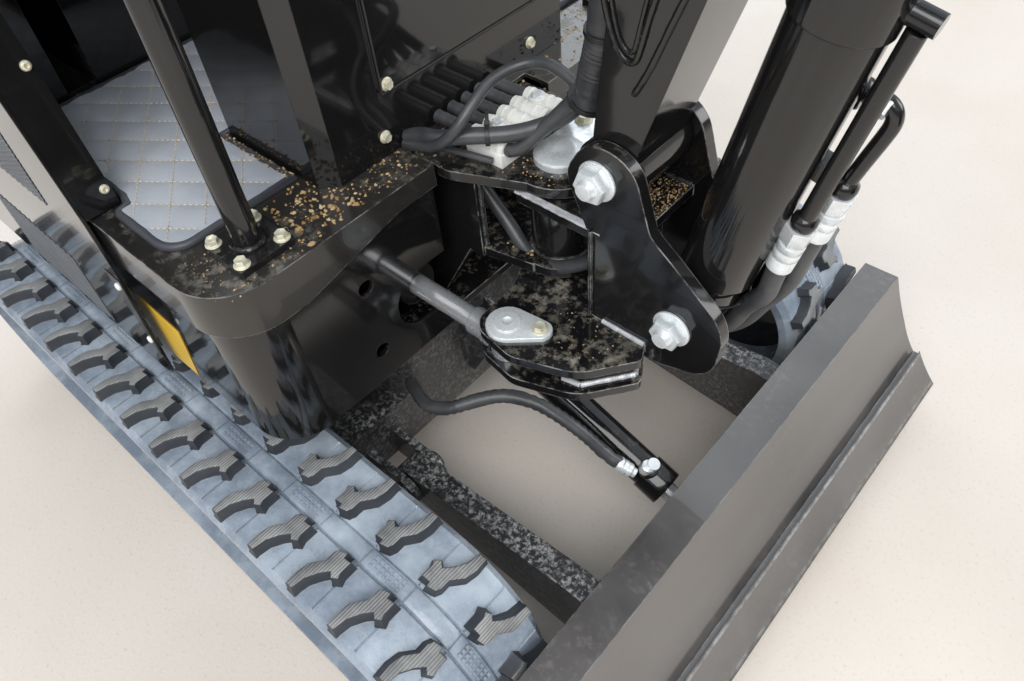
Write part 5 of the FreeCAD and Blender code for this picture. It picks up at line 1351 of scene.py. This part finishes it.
def build_light():
    """A soft sky with a darker horizon, and three large lamps."""
    world = bpy.data.worlds.new("overcast")
    bpy.context.scene.world = world
    world.use_nodes = True
    tree = world.node_tree
    sky = tree.nodes["Background"]
    place = tree.nodes.new("ShaderNodeTexCoord")
    split = tree.nodes.new("ShaderNodeSeparateXYZ")
    ramp = tree.nodes.new("ShaderNodeValToRGB")
    tree.links.new(place.outputs["Generated"], split.inputs["Vector"])
    tree.links.new(split.outputs["Z"], ramp.inputs["Fac"])
    tree.links.new(ramp.outputs["Color"], sky.inputs["Color"])
    stops = ramp.color_ramp.elements
    stops[0].position, stops[0].color = 0.02, (0.30, 0.29, 0.28, 1)
    stops[1].position, stops[1].color = 0.75, (0.86, 0.93, 1.0, 1)
    band = stops.new(0.16)
    band.color = (0.16, 0.17, 0.17, 1)
    band = stops.new(0.30)
    band.color = (0.80, 0.86, 0.92, 1)
    sky.inputs["Strength"].default_value = 0.95
    lamps = [
        ("key", (1.6, -2.4, 3.6), 3.2, 150, (1.0, 0.985, 0.96)),
        ("fill", (-2.6, 1.6, 3.2), 3.0, 60, (0.9, 0.95, 1.0)),
        ("rim", (2.8, 2.6, 2.2), 2.0, 50, (1.0, 0.99, 0.97)),
    ]
    for name, where, across, power, color in lamps:
        lamp = bpy.data.lights.new(name, "AREA")
        lamp.size, lamp.energy, lamp.color = across, power, color
        thing = bpy.data.objects.new(name, lamp)
        bpy.context.scene.collection.objects.link(thing)
        thing.location = where
        thing.rotation_mode = "QUATERNION"
        thing.rotation_quaternion = (Vector((0, -0.1, 0.4)) - Vector(where)).to_track_quat("-Z", "Y")


# The camera that was fitted to the photograph: its focal length and the picture's width in pixels, its place,
# and its directions to the right, down and ahead
FOCAL, PICTURE_WIDTH = 795.2, 1024
EYE = (841, -537, 1140)
RIGHT, DOWN, AHEAD = (0.7460, 0.6620, -0.0727), (0.4682, -0.5990, -0.6497), (-0.4736, 0.4506, -0.7568)


def build_camera():
    """A camera at the photograph's viewing angle."""
    camera = bpy.data.cameras.new("camera")
    camera.sensor_width = 36
    camera.lens = FOCAL * 36 / PICTURE_WIDTH
    camera.clip_start, camera.clip_end = 0.02, 60
    thing = bpy.data.objects.new("camera", camera)
    bpy.context.scene.collection.objects.link(thing)
    turn = Matrix((Vector(RIGHT), -Vector(DOWN), -Vector(AHEAD))).transposed()
    thing.matrix_world = Matrix.Translation(at(*EYE)) @ turn.to_4x4()
    bpy.context.scene.camera = thing


build_ground()
build_light()
build_camera()
bpy.context.scene.view_settings.view_transform = "Standard"
